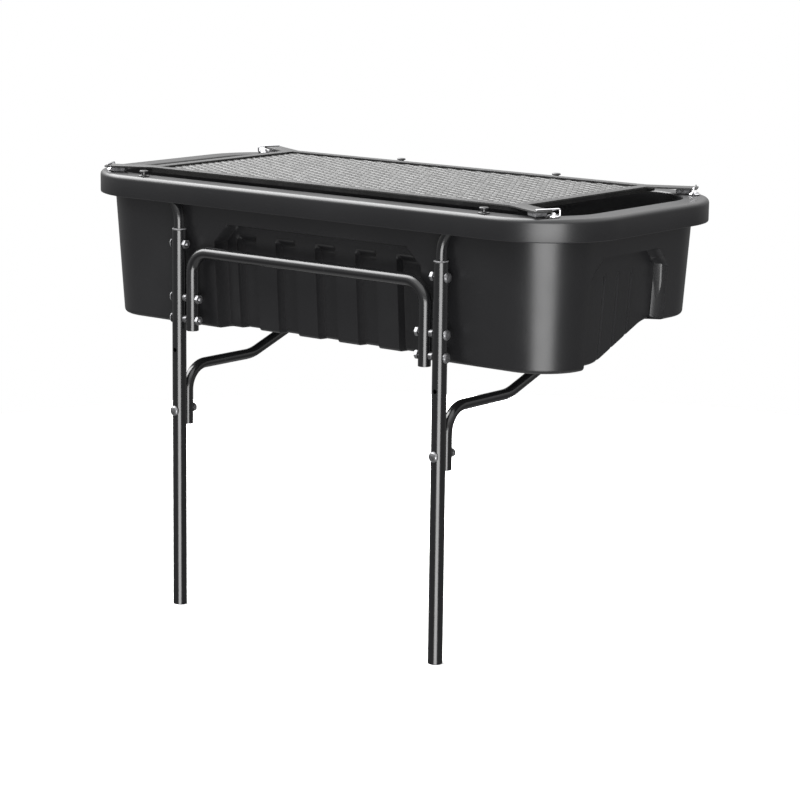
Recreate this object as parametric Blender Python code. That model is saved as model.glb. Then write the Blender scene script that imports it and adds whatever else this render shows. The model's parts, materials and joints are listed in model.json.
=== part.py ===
"""Long outdoor grill: a moulded tub on two legs, with an expanded-metal grate held by clips.

The tub's near long side hangs on two legs; its far underside is a flat shelf that rests on
a table or rail. X runs along the tub, Y from the near side to the far side, Z up. Lengths
are in metres. Pieces are built with Y = 0 in the plane of the legs and Z = 0 at their feet,
and one empty shifts them all, so that the part's origin lies on the flat shelf.
"""

import math

import bmesh
import bpy
from mathutils import Matrix, Vector

# ---------------------------------------------------------------- clearances
GAP = 0.0003                # between faces that touch
HOLE_FIT = 0.0003           # round a bolt's shank, on the radius
TUBE_FIT = 0.0003           # round a tube that slides in another, on the radius
HANGER_TO_WALL = 0.0004     # between a hanger tube and the tub's near wall

# ---------------------------------------------------------------- driving sizes
RIM_TOP = 0.782             # height of the rim above the feet
RIM_LENGTH = 1.121
RIM_WIDTH = 0.5356
RIM_CORNER = 0.150
RIM_OVERHANG = 0.0292       # rim's outer face beyond the top of the wall
RIM_PLATE = 0.005
RIM_SHOULDER = 0.008
LEDGE_WIDTH = 0.0453        # rim's outer face to the opening
LEDGE_EDGE = 0.003
OPENING_CORNER = 0.105
SKIRT_HEIGHT = 0.0394
SKIRT_WALL = 0.004

TUB_DEPTH = 0.264           # rim top to the deep underside
SHELF_DEPTH = 0.205         # rim top to the shallow underside
TUB_WALL = 0.005
TUB_DRAFT = math.tan(math.radians(4.0))
END_OVERHANG = 0.0344       # rim's end face beyond the top of the end wall
TUB_CORNER = 0.085
TUB_EDGE = 0.006
SLOPE_START = 0.160         # deep underside's width, from the near wall's foot
SLOPE_LENGTH = 0.137
SLOPE_BLEND = 0.018

RECESS_WIDTH = 0.468
RECESS_CENTRE_X = 0.007
RECESS_DEPTH = 0.028
RECESS_TOP = 0.072          # below the rim top
RECESS_CHAMFER = 0.033
GROOVE_COUNT = 5
GROOVE_PITCH = 0.091
GROOVE_WIDTH = 0.042
GROOVE_DEPTH = 0.015
GROOVE_TOP = 0.020          # below the top of the recess
GROOVE_RAMP = 0.015

END_RECESS_WIDTH = 0.232
END_RECESS_OFFSET = -0.0145  # from the middle of the rim's width
END_RECESS_DEPTH = 0.024
END_RECESS_TOP = 0.076
END_GROOVE_COUNT = 3
END_GROOVE_PITCH = 0.040
END_GROOVE_WIDTH = 0.005
END_GROOVE_DEPTH = 0.003
END_GROOVE_TOP = 0.037

LEG_X = 0.2967
LEG_OD = 0.0254
LEG_WALL = 0.0015
LEG_TOP_DROP = 0.0885       # rim top to the top of the leg
HANGER_OD = 0.019
HANGER_WALL = 0.0015
HANGER_BEND = 0.060
HANGER_REACH = 0.0863       # leg axis to the bolt in the rim
HANGER_TAIL = 0.020         # hanger tube beyond that bolt
HANGER_INSERT = 0.055       # hanger tube inside the leg
COLLAR_FLANGE = 0.002
COLLAR_LENGTH = 0.015
SPARE_HOLE_HEIGHT = 0.475
SPARE_HOLE_RADIUS = 0.004

CLAMP_DROP = 0.0255         # leg top to the clamp bolt
BAR_BOLT_DROPS = (0.1225, 0.1615)
BAR_OD = 0.0222
BAR_WALL = 0.0015
BAR_BEND = 0.038
BAR_TOP_DROP = 0.0365       # leg top to the middle of the top run
BAR_FOOT_DROP = 0.1805      # leg top to the lower ends
SPACER_LENGTH = 0.0078
SPACER_RADIUS = 0.007

BRACE_OD = 0.019
BRACE_WALL = 0.0015
BRACE_FOOT = 0.335
BRACE_BOLT_HEIGHT = 0.363
BRACE_RUN_HEIGHT = 0.4418
BRACE_BEND = 0.045
BRACE_RUN_END = 0.197
BRACE_RISE = math.tan(math.radians(19.0))
BRACE_TOP_Y = 0.378
BRACKET_PLATE = 0.004
BRACKET_LENGTH = 0.064
BRACKET_WIDTH = 0.040
SPIGOT_LENGTH = 0.035
RIVET_PITCH = 0.046
SHELF_MOUNT_FROM_FAR = 0.086  # rim's far face to the middle of the resting face

BOLT_RADIUS = 0.004
BOLT_HEAD_RADIUS = 0.0095
BOLT_HEAD_HEIGHT = 0.0055
NUT_RADIUS = 0.0085
NUT_HEIGHT = 0.0065
BOLT_TIP = 0.003            # shank beyond the nut
RIM_BOLT_RADIUS = 0.003
RIM_NUT_RADIUS = 0.0056
RIM_NUT_HEIGHT = 0.005
RIM_BOLT_FLANGE = 0.01025
RIM_BOLT_NECK = 0.005
RIM_BOLT_CAP = 0.008
RIM_BOLT_FLANGE_HEIGHT = 0.0024
RIM_BOLT_SEAT_TO_CAP = 0.0068
RIM_BOLT_BELOW_GRATE = 0.0009   # bolt's top below the grate's top
FAR_BOLT_X = 0.180
FAR_BOLT_INSET = 0.0223     # rim's far face to the far bolts
RIVET_RADIUS = 0.0025
RIVET_HEAD = 0.005
RIVET_HEAD_HEIGHT = 0.0025

GRATE_END_GAP = 0.0947      # grate's end to the opening's end
GRATE_SIDE_GAP = 0.0176     # grate's side to the opening's side
GRATE_RISE = 0.0119         # grate's top above the rim
FLANGE_WIDTH = 0.020
STRIP_THICKNESS = 0.003
WEB_HEIGHT = 0.0065
WEB_INSET = 0.0002          # flange's outer edge to the web's outer face
SHEET_THICKNESS = 0.002
ARM_WIDTH = 0.033
ARM_ANGLE = math.atan(0.5)
ARM_END_X = 0.0685          # rim's end face to the end of the arm
ARM_END_Y = 0.0367          # rim's side face to the end of the arm
FOOT_LENGTH = 0.026
FOOT_WIDTH = 0.024
FOOT_SETBACK = 0.024
FOOT_BEVEL = 0.0015

WIRE_RADIUS = 0.0015
EYE_RADIUS = 0.009
CLIP_BEND = 0.0032
CLIP_RISER = 0.0125         # clip's axis to its upright
CLIP_REACH = 0.032          # clip's axis to the tip of the finger
CLIP_SETBACK = 0.004        # arm's end to the finger
CLIP_SIDE = 0.002           # arm's edge to the clip's axis
SCREW_RADIUS = 0.002
SCREW_WASHER = 0.0085
SCREW_WASHER_HEIGHT = 0.0012
SCREW_HEAD = 0.0045
SCREW_HEAD_HEIGHT = 0.003
SCREW_TIP = 0.006           # screw's end below the rim's plate
TIP_CHAMFER = 0.001         # run of the chamfer at a screw's or bolt's end
CLEAR_CUT = 0.1             # how far a cutting shape reaches into open air

ROUND = 16                  # sides of a tube
SMALL_ROUND = 12            # sides of a bolt
WIRE_ROUND = 8
EYE_STEPS = 18
CORNER_STEPS = 7
EDGE_STEPS = 3

# ---------------------------------------------------------------- worked-out places
HALF_LENGTH = RIM_LENGTH / 2
WALL_TOP_Y = HANGER_OD / 2 + HANGER_TO_WALL
RIM_NEAR = WALL_TOP_Y - RIM_OVERHANG
RIM_FAR = RIM_NEAR + RIM_WIDTH
MIDDLE_Y = (RIM_NEAR + RIM_FAR) / 2
RIM_UNDER = RIM_TOP - RIM_PLATE
TUB_BOTTOM = RIM_TOP - TUB_DEPTH
SHELF_HEIGHT = RIM_TOP - SHELF_DEPTH
WALL_LEAN = TUB_DRAFT * (RIM_UNDER - TUB_BOTTOM)
FOOT_NEAR = WALL_TOP_Y + WALL_LEAN
FOOT_FAR = RIM_FAR - RIM_OVERHANG - WALL_LEAN
FOOT_HALF = HALF_LENGTH - END_OVERHANG - WALL_LEAN
LEG_TOP = RIM_TOP - LEG_TOP_DROP
HANGER_HEIGHT = RIM_UNDER - GAP - HANGER_OD / 2
CLAMP_HEIGHT = LEG_TOP - CLAMP_DROP
BAR_X = LEG_X - LEG_OD / 2 - SPACER_LENGTH - 2 * GAP - BAR_OD / 2
BRACE_Y = LEG_OD / 2 + GAP + BRACE_OD / 2
BRACE_TOP = SHELF_HEIGHT - 2 * GAP - BRACKET_PLATE
SPIGOT_PIN_HEIGHT = BRACE_TOP - SPIGOT_LENGTH / 2
GRATE_TOP = RIM_TOP + GRATE_RISE
GRATE_HALF = HALF_LENGTH - LEDGE_WIDTH - GRATE_END_GAP
GRATE_NEAR = RIM_NEAR + LEDGE_WIDTH + GRATE_SIDE_GAP
GRATE_FAR = RIM_FAR - LEDGE_WIDTH - GRATE_SIDE_GAP
SHELF_MOUNT_Y = RIM_FAR - SHELF_MOUNT_FROM_FAR

SIDES = (("left", -1), ("right", 1))
CORNERS = (("near_left", -1, -1), ("near_right", 1, -1), ("far_left", -1, 1), ("far_right", 1, 1))


# ---------------------------------------------------------------- scene helpers
def clear_scene():
    for old in list(bpy.data.objects):
        bpy.data.objects.remove(old, do_unlink=True)


def finish_material(name, colour, roughness, metallic):
    """A plain Principled finish."""
    finish = bpy.data.materials.new(name)
    finish.use_nodes = True
    shader = finish.node_tree.nodes["Principled BSDF"]
    shader.inputs["Base Color"].default_value = (*colour, 1.0)
    shader.inputs["Roughness"].default_value = roughness
    shader.inputs["Metallic"].default_value = metallic
    return finish


def mesh_from_bmesh(name, shape):
    """Closes a bmesh into a mesh, faces outwards, shaded smooth but for its sharp edges."""
    bmesh.ops.remove_doubles(shape, verts=shape.verts, dist=0.00001)
    bmesh.ops.recalc_face_normals(shape, faces=shape.faces)
    mesh = bpy.data.meshes.new(name)
    shape.to_mesh(mesh)
    shape.free()
    smooth(mesh)
    return mesh


def smooth(mesh):
    mesh.shade_smooth()
    mesh.set_sharp_from_angle(angle=math.radians(35))


def place(name, mesh, colour_name, location=(0, 0, 0), turn=0.0, parent=None):
    """Puts a mesh in the scene under the part's origin, with a finish of its own."""
    mesh_finish = finish_material(name, *FINISHES[colour_name])
    piece = bpy.data.objects.new(name, mesh)
    bpy.context.scene.collection.objects.link(piece)
    if not mesh.materials:
        mesh.materials.append(mesh_finish)
    piece.material_slots[0].link = "OBJECT"
    piece.material_slots[0].material = mesh_finish
    piece.parent = parent
    piece.location = location
    piece.rotation_euler = (0, 0, turn)
    return piece


def combined(mesh, tool, operation):
    """The mesh joined with or cut by a tool mesh, as a new mesh."""
    body = bpy.data.objects.new("body", mesh)
    helper = bpy.data.objects.new("tool", tool)
    for thing in (body, helper):
        bpy.context.scene.collection.objects.link(thing)
    step = body.modifiers.new("combine", "BOOLEAN")
    step.solver = "EXACT"
    step.operation = operation
    step.object = helper
    graph = bpy.context.evaluated_depsgraph_get()
    result = bpy.data.meshes.new_from_object(body.evaluated_get(graph))
    for thing in (body, helper):
        bpy.data.objects.remove(thing, do_unlink=True)
    smooth(result)
    return result


# ---------------------------------------------------------------- shapes
def bridge(shape, lower, upper):
    """Quads between two closed rings of equally many vertices."""
    count = len(lower)
    for i in range(count):
        j = (i + 1) % count
        shape.faces.new((lower[i], lower[j], upper[j], upper[i]))


def turned(profile, sides):
    """A closed solid turned about Z from (radius, height) points, lowest first."""
    shape = bmesh.new()
    rings = []
    for radius, height in profile:
        angles = [2 * math.pi * i / sides for i in range(sides)]
        rings.append([shape.verts.new((radius * math.cos(a), radius * math.sin(a), height)) for a in angles])
    for lower, upper in zip(rings, rings[1:]):
        bridge(shape, lower, upper)
    shape.faces.new(list(reversed(rings[0])))
    shape.faces.new(rings[-1])
    return mesh_from_bmesh("turned", shape)


def turned_ring(profile, sides):
    """A closed ring turned about Z from a closed loop of (radius, height) points."""
    shape = bmesh.new()
    rings = []
    for radius, height in profile:
        angles = [2 * math.pi * i / sides for i in range(sides)]
        rings.append([shape.verts.new((radius * math.cos(a), radius * math.sin(a), height)) for a in angles])
    for lower, upper in zip(rings, rings[1:] + rings[:1]):
        bridge(shape, lower, upper)
    return mesh_from_bmesh("ring", shape)


def prism(points, low, high, axes="xyz"):
    """A polygon in the first two axes, extruded along the third."""
    shape = bmesh.new()
    order = ["xyz".index(axis) for axis in axes]
    ends = []
    for level in (low, high):
        ring = []
        for a, b in points:
            place_at = [0.0, 0.0, 0.0]
            place_at[order[0]], place_at[order[1]], place_at[order[2]] = a, b, level
            ring.append(shape.verts.new(place_at))
        ends.append(ring)
    bridge(shape, *ends)
    shape.faces.new(ends[0])
    shape.faces.new(ends[1])
    return mesh_from_bmesh("prism", shape)


def joined(meshes):
    """Several solids that don't touch, in one mesh."""
    shape = bmesh.new()
    for mesh in meshes:
        shape.from_mesh(mesh)
    return mesh_from_bmesh("joined", shape)


def moved(mesh, location=(0, 0, 0), turn=None):
    """A copy of a mesh, turned and then shifted."""
    copy = mesh.copy()
    matrix = Matrix.Translation(location)
    if turn:
        matrix = matrix @ Matrix.Rotation(turn[0], 4, turn[1])
    copy.transform(matrix)
    return copy


def hole(radius, length, location, axis="Z", sides=SMALL_ROUND):
    """A cylinder for drilling, centred on a point, along X, Y or Z."""
    mesh = turned([(radius, -length / 2), (radius, length / 2)], sides)
    turn = {"X": (math.pi / 2, "Y"), "Y": (math.pi / 2, "X"), "Z": None}[axis]
    return moved(mesh, location, turn)


def rounded_path(corners, bends, step=math.radians(18)):
    """Straight runs through the corner points, with an arc of each bend's radius between."""
    points = [Vector(corners[0])]
    for before, corner, after, radius in zip(corners, corners[1:], corners[2:], bends):
        corner = Vector(corner)
        back = (Vector(before) - corner).normalized()
        ahead = (Vector(after) - corner).normalized()
        half = back.angle(ahead) / 2
        middle = corner + (back + ahead).normalized() * radius / math.sin(half)
        start = corner + back * radius / math.tan(half) - middle
        end = corner + ahead * radius / math.tan(half) - middle
        sweep = math.pi - 2 * half
        steps = max(2, math.ceil(sweep / step))
        for i in range(steps + 1):
            share = sweep * i / steps
            weights = math.sin(sweep - share) / math.sin(sweep), math.sin(share) / math.sin(sweep)
            points.append(middle + start * weights[0] + end * weights[1])
    points.append(Vector(corners[-1]))
    return points


def section_rings(shape, points, radius, sides):
    """Rings of vertices square to a path, carried along it without twist."""
    rings = []
    ahead = (points[1] - points[0]).normalized()
    side = ahead.orthogonal().normalized()
    for i, point in enumerate(points):
        before = points[max(i - 1, 0)]
        after = points[min(i + 1, len(points) - 1)]
        tangent = (point - before).normalized() + (after - point).normalized()
        tangent.normalize()
        side = (side - tangent * side.dot(tangent)).normalized()
        up = tangent.cross(side)
        ring = []
        for k in range(sides):
            angle = 2 * math.pi * k / sides
            ring.append(shape.verts.new(point + (side * math.cos(angle) + up * math.sin(angle)) * radius))
        rings.append(ring)
    return rings


def bent_tube(points, outer, inner, sides=ROUND):
    """An open-ended tube along a path."""
    shape = bmesh.new()
    skins = [section_rings(shape, points, radius, sides) for radius in (outer, inner)]
    for rings in skins:
        for lower, upper in zip(rings, rings[1:]):
            bridge(shape, lower, upper)
    for end in (0, -1):
        bridge(shape, skins[0][end], skins[1][end])
    return mesh_from_bmesh("tube", shape)


def bent_wire(points, radius, sides=WIRE_ROUND):
    """A solid wire along a path, with flat ends."""
    shape = bmesh.new()
    rings = section_rings(shape, points, radius, sides)
    for lower, upper in zip(rings, rings[1:]):
        bridge(shape, lower, upper)
    shape.faces.new(rings[0])
    shape.faces.new(rings[-1])
    return mesh_from_bmesh("wire", shape)


# ---------------------------------------------------------------- tub
def floor_height(y):
    """Underside height at y: deep, then a slope, then the flat shelf, with blended knees."""
    rate = (SHELF_HEIGHT - TUB_BOTTOM) / SLOPE_LENGTH
    start = FOOT_NEAR + SLOPE_START
    return TUB_BOTTOM + rate * (blended(y - start) - blended(y - start - SLOPE_LENGTH))


def blended(distance):
    """Zero before the knee and the distance past it, with a parabola across the knee."""
    if distance <= -SLOPE_BLEND:
        return 0.0
    if distance >= SLOPE_BLEND:
        return distance
    return (distance + SLOPE_BLEND) ** 2 / (4 * SLOPE_BLEND)


def side_stations():
    """Places along the tub's ends where its rings have a point, at the floor's two knees."""
    start = FOOT_NEAR + SLOPE_START
    knees = (start, start + SLOPE_LENGTH)
    return [knee + SLOPE_BLEND * share for knee in knees for share in (-1, -0.5, 0, 0.5, 1)]


def outline(half, near, far, radius):
    """Points and outward normals of the right half of a rounded rectangle, near to far."""
    points = []
    for i in range(CORNER_STEPS + 1):
        angle = math.radians(-90 + 90 * i / CORNER_STEPS)
        normal = Vector((math.cos(angle), math.sin(angle)))
        points.append((Vector((half - radius, near + radius)) + normal * radius, normal))
    for y in side_stations():
        points.append((Vector((half, y)), Vector((1, 0))))
    for i in range(CORNER_STEPS + 1):
        angle = math.radians(90 * i / CORNER_STEPS)
        normal = Vector((math.cos(angle), math.sin(angle)))
        points.append((Vector((half - radius, far - radius)) + normal * radius, normal))
    return points


def tub_rings():
    """Half rings of (x, y, z) from the underside out, over the rim and down to the floor."""
    foot = outline(FOOT_HALF, FOOT_NEAR, FOOT_FAR, TUB_CORNER)
    rim = outline(HALF_LENGTH, RIM_NEAR, RIM_FAR, RIM_CORNER)
    near_opening = RIM_NEAR + LEDGE_WIDTH
    opening = outline(HALF_LENGTH - LEDGE_WIDTH, near_opening, RIM_FAR - LEDGE_WIDTH, OPENING_CORNER)
    turns = [math.radians(90 * i / EDGE_STEPS) for i in range(EDGE_STEPS + 1)]

    def wall(point, normal, inset, height):
        spot = point + normal * (TUB_DRAFT * (height - TUB_BOTTOM) - inset)
        return (spot.x, spot.y, height)

    def level(ring, inset, height):
        return [(*(point - normal * inset), height) for point, normal in ring]

    rings = []
    for turn in turns:
        inset = TUB_EDGE * (1 - math.sin(turn))
        lift = TUB_EDGE * (1 - math.cos(turn))
        rings.append([wall(point, normal, inset, floor_height(point.y) + lift) for point, normal in foot])
    rings.append([wall(point, normal, 0, RIM_UNDER) for point, normal in foot])
    rings.append(level(rim, SKIRT_WALL, RIM_UNDER))
    rings.append(level(rim, SKIRT_WALL, RIM_TOP - SKIRT_HEIGHT))
    rings.append(level(rim, 0, RIM_TOP - SKIRT_HEIGHT))
    for turn in turns:
        inset = RIM_SHOULDER * (1 - math.cos(turn))
        rings.append(level(rim, inset, RIM_TOP - RIM_SHOULDER * (1 - math.sin(turn))))
    for turn in turns:
        inset = -LEDGE_EDGE * (1 - math.sin(turn))
        rings.append(level(opening, inset, RIM_TOP - LEDGE_EDGE * (1 - math.cos(turn))))
    for turn in reversed(turns):
        rings.append([])
        for (low, normal), (high, _) in zip(foot, opening):
            inner = low - normal * TUB_WALL
            height = floor_height(low.y) + TUB_WALL + TUB_EDGE * (1 - math.cos(turn))
            share = (height - TUB_BOTTOM) / (RIM_TOP - LEDGE_EDGE - TUB_BOTTOM)
            spot = inner.lerp(high, share) - normal * TUB_EDGE * (1 - math.sin(turn))
            rings[-1].append((spot.x, spot.y, height))
    return rings


def tub_shell():
    """The tub before its recesses: rings joined, and both floors closed by strips across."""
    shape = bmesh.new()
    halves = []
    for ring in tub_rings():
        right = [shape.verts.new(point) for point in ring]
        left = [shape.verts.new((-x, y, z)) for x, y, z in ring]
        halves.append((right, left))
    for (right, left), (next_right, next_left) in zip(halves, halves[1:]):
        bridge(shape, right + left[::-1], next_right + next_left[::-1])
    for right, left in (halves[0], halves[-1]):
        for i in range(len(right) - 1):
            shape.faces.new((left[i], right[i], right[i + 1], left[i + 1]))
    return mesh_from_bmesh("tub", shape)


def leaning(mesh, axis, sign):
    """Leans a mesh with the tub's draft, so that it follows a wall on that axis."""
    for vertex in mesh.vertices:
        vertex.co[axis] += sign * TUB_DRAFT * (vertex.co.z - TUB_BOTTOM)
    return mesh


def chamfered(low, high, bottom, top, chamfer):
    """A rectangle with its two top corners cut off."""
    return [(low, bottom), (high, bottom), (high, top - chamfer), (high - chamfer, top),
            (low + chamfer, top), (low, top - chamfer)]


def near_recess(grow, bottom):
    """Outline in X and Z of the near recess, grown by a wall."""
    half = RECESS_WIDTH / 2 + grow
    top = RIM_TOP - RECESS_TOP + grow
    return chamfered(RECESS_CENTRE_X - half, RECESS_CENTRE_X + half, bottom, top, RECESS_CHAMFER)


def end_recess(grow, bottom):
    """Outline in Y and Z of an end recess, grown by a wall; its foot follows the floor."""
    low = MIDDLE_Y + END_RECESS_OFFSET - END_RECESS_WIDTH / 2 - grow
    high = low + END_RECESS_WIDTH + 2 * grow
    top = RIM_TOP - END_RECESS_TOP + grow
    points = chamfered(low, high, bottom, top, RECESS_CHAMFER)
    if grow:
        inner = [y for y in side_stations() if low < y < high]
        foot = [(y, floor_height(y) + TUB_WALL / 2) for y in [low, *inner, high]]
        points = foot + points[2:]
    return points


def make_tub():
    mesh = tub_shell()
    below = TUB_BOTTOM - 0.05
    bump_face = FOOT_NEAR + RECESS_DEPTH + GROOVE_DEPTH + TUB_WALL
    bump = prism(near_recess(TUB_WALL, TUB_BOTTOM + TUB_WALL / 2), FOOT_NEAR + TUB_WALL / 2, bump_face, "xzy")
    mesh = combined(mesh, leaning(bump, 1, -1), "UNION")
    bump_depth = END_RECESS_DEPTH + END_GROOVE_DEPTH + TUB_WALL
    for _, sign in SIDES:
        bump = prism(end_recess(TUB_WALL, below), sign * (FOOT_HALF - bump_depth),
                     sign * (FOOT_HALF - TUB_WALL / 2), "yzx")
        mesh = combined(mesh, leaning(bump, 0, sign), "UNION")

    pocket = prism(near_recess(0, below), FOOT_NEAR - CLEAR_CUT, FOOT_NEAR + RECESS_DEPTH, "xzy")
    mesh = combined(mesh, leaning(pocket, 1, -1), "DIFFERENCE")
    for _, sign in SIDES:
        floor = sign * (FOOT_HALF - END_RECESS_DEPTH)
        pocket = prism(end_recess(0, below), floor, sign * (FOOT_HALF + CLEAR_CUT), "yzx")
        mesh = combined(mesh, leaning(pocket, 0, sign), "DIFFERENCE")
    mesh = combined(mesh, joined(near_grooves(below)), "DIFFERENCE")
    mesh = combined(mesh, joined(end_grooves(below)), "DIFFERENCE")
    return combined(mesh, joined(tub_holes()), "DIFFERENCE")


def near_grooves(below):
    """Cutters for the upright grooves in the near recess, each with a ramp at its top."""
    floor = FOOT_NEAR + RECESS_DEPTH
    top = RIM_TOP - RECESS_TOP - GROOVE_TOP
    deep = floor + GROOVE_DEPTH
    clear = floor - 0.01
    side = [(clear, below), (deep, below), (deep, top - GROOVE_RAMP), (floor, top), (clear, top)]
    cutters = []
    for i in range(GROOVE_COUNT):
        centre = RECESS_CENTRE_X + GROOVE_PITCH * (i - (GROOVE_COUNT - 1) / 2)
        cutter = prism(side, centre - GROOVE_WIDTH / 2, centre + GROOVE_WIDTH / 2, "yzx")
        cutters.append(leaning(cutter, 1, -1))
    return cutters


def end_grooves(below):
    """Cutters for the thin upright grooves in both end recesses."""
    top = RIM_TOP - END_RECESS_TOP - END_GROOVE_TOP
    cutters = []
    for _, sign in SIDES:
        floor = sign * (FOOT_HALF - END_RECESS_DEPTH)
        for i in range(END_GROOVE_COUNT):
            centre = MIDDLE_Y + END_RECESS_OFFSET + END_GROOVE_PITCH * (i - (END_GROOVE_COUNT - 1) / 2)
            low, high = centre - END_GROOVE_WIDTH / 2, centre + END_GROOVE_WIDTH / 2
            face = [(low, below), (high, below), (high, top), (low, top)]
            cutter = prism(face, floor - sign * END_GROOVE_DEPTH, floor + sign * 0.01, "yzx")
            cutters.append(leaning(cutter, 0, sign))
    return cutters


def tub_holes():
    """Drills for the rim bolts, the clip screws and the bracket rivets."""
    drills = []
    for x, y in rim_bolt_places().values():
        drills.append(hole(RIM_BOLT_RADIUS + HOLE_FIT, 4 * RIM_PLATE, (x, y, RIM_TOP)))
    for _, x_sign, y_sign in CORNERS:
        x, y = clip_axis(x_sign, y_sign)
        drills.append(hole(SCREW_RADIUS + HOLE_FIT, 4 * RIM_PLATE, (x, y, RIM_TOP), sides=12))
    for x, y in rivet_places().values():
        drills.append(hole(RIVET_RADIUS + HOLE_FIT, 4 * TUB_WALL, (x, y, SHELF_HEIGHT), sides=12))
    return drills


# ---------------------------------------------------------------- places shared by pieces
def rim_bolt_places():
    places = {}
    for side, sign in SIDES:
        places["near_" + side] = (sign * (LEG_X + HANGER_REACH), 0.0)
        places["far_" + side] = (sign * FAR_BOLT_X, RIM_FAR - FAR_BOLT_INSET)
    return places


def rivet_places():
    places = {}
    for side, sign in SIDES:
        for end, shift in (("inner", -1), ("outer", 1)):
            places[side + "_" + end] = (sign * (LEG_X + shift * RIVET_PITCH / 2), BRACE_TOP_Y)
    return places


def arm_frame(x_sign, y_sign):
    """End of a corner arm, its outward direction, and the direction square to it, inwards."""
    near = RIM_NEAR + ARM_END_Y
    end = Vector((x_sign * (HALF_LENGTH - ARM_END_X), near if y_sign < 0 else 2 * MIDDLE_Y - near))
    out = Vector((x_sign * math.cos(ARM_ANGLE), y_sign * math.sin(ARM_ANGLE)))
    across = Vector((x_sign * math.sin(ARM_ANGLE), -y_sign * math.cos(ARM_ANGLE)))
    return end, out, across


def clip_axis(x_sign, y_sign):
    end, out, across = arm_frame(x_sign, y_sign)
    spot = end - out * CLIP_SETBACK + across * (ARM_WIDTH / 2 + CLIP_SIDE)
    return spot.x, spot.y


def corner_turn(x_sign, y_sign):
    """Turn about Z that takes +X to a corner arm's outward direction."""
    return math.atan2(y_sign * math.sin(ARM_ANGLE), x_sign * math.cos(ARM_ANGLE))


# ---------------------------------------------------------------- grate
def frame_outline():
    """Outer outline of the frame with its four corner arms, counter-clockwise from above."""
    half = ARM_WIDTH / 2
    outline_points = []
    for x_sign, y_sign in ((1, -1), (1, 1), (-1, 1), (-1, -1)):
        end, out, across = arm_frame(x_sign, y_sign)
        edge_y = GRATE_NEAR if y_sign < 0 else GRATE_FAR
        side_edge = end - across * half
        end_edge = end + across * half
        on_side = side_edge - out * ((side_edge.y - edge_y) / out.y)
        on_end = end_edge - out * ((end_edge.x - x_sign * GRATE_HALF) / out.x)
        corner = [on_side, side_edge, end_edge, on_end]
        if x_sign * y_sign > 0:
            corner.reverse()
        outline_points += corner
    return outline_points


def make_grate_frame():
    """Flat flange with the four arms in one strip, and a web turned down at its outer edge."""
    outer = frame_outline()
    inner_half = GRATE_HALF - FLANGE_WIDTH
    inner_near, inner_far = GRATE_NEAR + FLANGE_WIDTH, GRATE_FAR - FLANGE_WIDTH
    inner = [(-inner_half, inner_near), (inner_half, inner_near),
             (inner_half, inner_far), (-inner_half, inner_far)]
    shape = bmesh.new()
    for loop in (outer, inner):
        corners = [shape.verts.new((x, y, GRATE_TOP - STRIP_THICKNESS)) for x, y in loop]
        for i, corner in enumerate(corners):
            shape.edges.new((corner, corners[(i + 1) % len(corners)]))
    bmesh.ops.triangle_fill(shape, edges=shape.edges[:], use_beauty=True)
    solid = bmesh.ops.extrude_face_region(shape, geom=shape.faces[:])
    lifted = [item for item in solid["geom"] if isinstance(item, bmesh.types.BMVert)]
    bmesh.ops.translate(shape, verts=lifted, vec=(0, 0, STRIP_THICKNESS))
    flange = mesh_from_bmesh("flange", shape)

    low = GRATE_TOP - STRIP_THICKNESS - WEB_HEIGHT
    high = GRATE_TOP - STRIP_THICKNESS / 2
    web = rectangle_ring(WEB_INSET, WEB_INSET + STRIP_THICKNESS, low, high)
    return combined(flange, web, "UNION")


def rectangle_ring(outer_inset, inner_inset, low, high):
    """A rectangular ring inside the grate's outline, between two insets and two heights."""
    shape = bmesh.new()
    loops = []
    for inset, height in ((outer_inset, low), (outer_inset, high), (inner_inset, high), (inner_inset, low)):
        half, near, far = GRATE_HALF - inset, GRATE_NEAR + inset, GRATE_FAR - inset
        spots = ((-half, near), (half, near), (half, far), (-half, far))
        loops.append([shape.verts.new((x, y, height)) for x, y in spots])
    for lower, upper in zip(loops, loops[1:] + loops[:1]):
        bridge(shape, lower, upper)
    return mesh_from_bmesh("rectangle", shape)


def make_grate_sheet():
    """Outer shape of the expanded-metal sheet, tucked under the flange inside the web."""
    inset = WEB_INSET + STRIP_THICKNESS + GAP
    half, near, far = GRATE_HALF - inset, GRATE_NEAR + inset, GRATE_FAR - inset
    top = GRATE_TOP - STRIP_THICKNESS - GAP
    return prism([(-half, near), (half, near), (half, far), (-half, far)], top - SHEET_THICKNESS, top)


def make_arm_foot():
    """A block that stands on the rim under a corner arm, with its edges broken."""
    low, high = RIM_TOP + GAP, GRATE_TOP - STRIP_THICKNESS - GAP
    half_x, half_y = FOOT_LENGTH / 2, FOOT_WIDTH / 2
    mesh = prism([(-half_x, -half_y), (half_x, -half_y), (half_x, half_y), (-half_x, half_y)], low, high)
    shape = bmesh.new()
    shape.from_mesh(mesh)
    bmesh.ops.bevel(shape, geom=shape.edges[:], offset=FOOT_BEVEL, segments=1, affect="EDGES")
    return mesh_from_bmesh("foot", shape)


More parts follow.
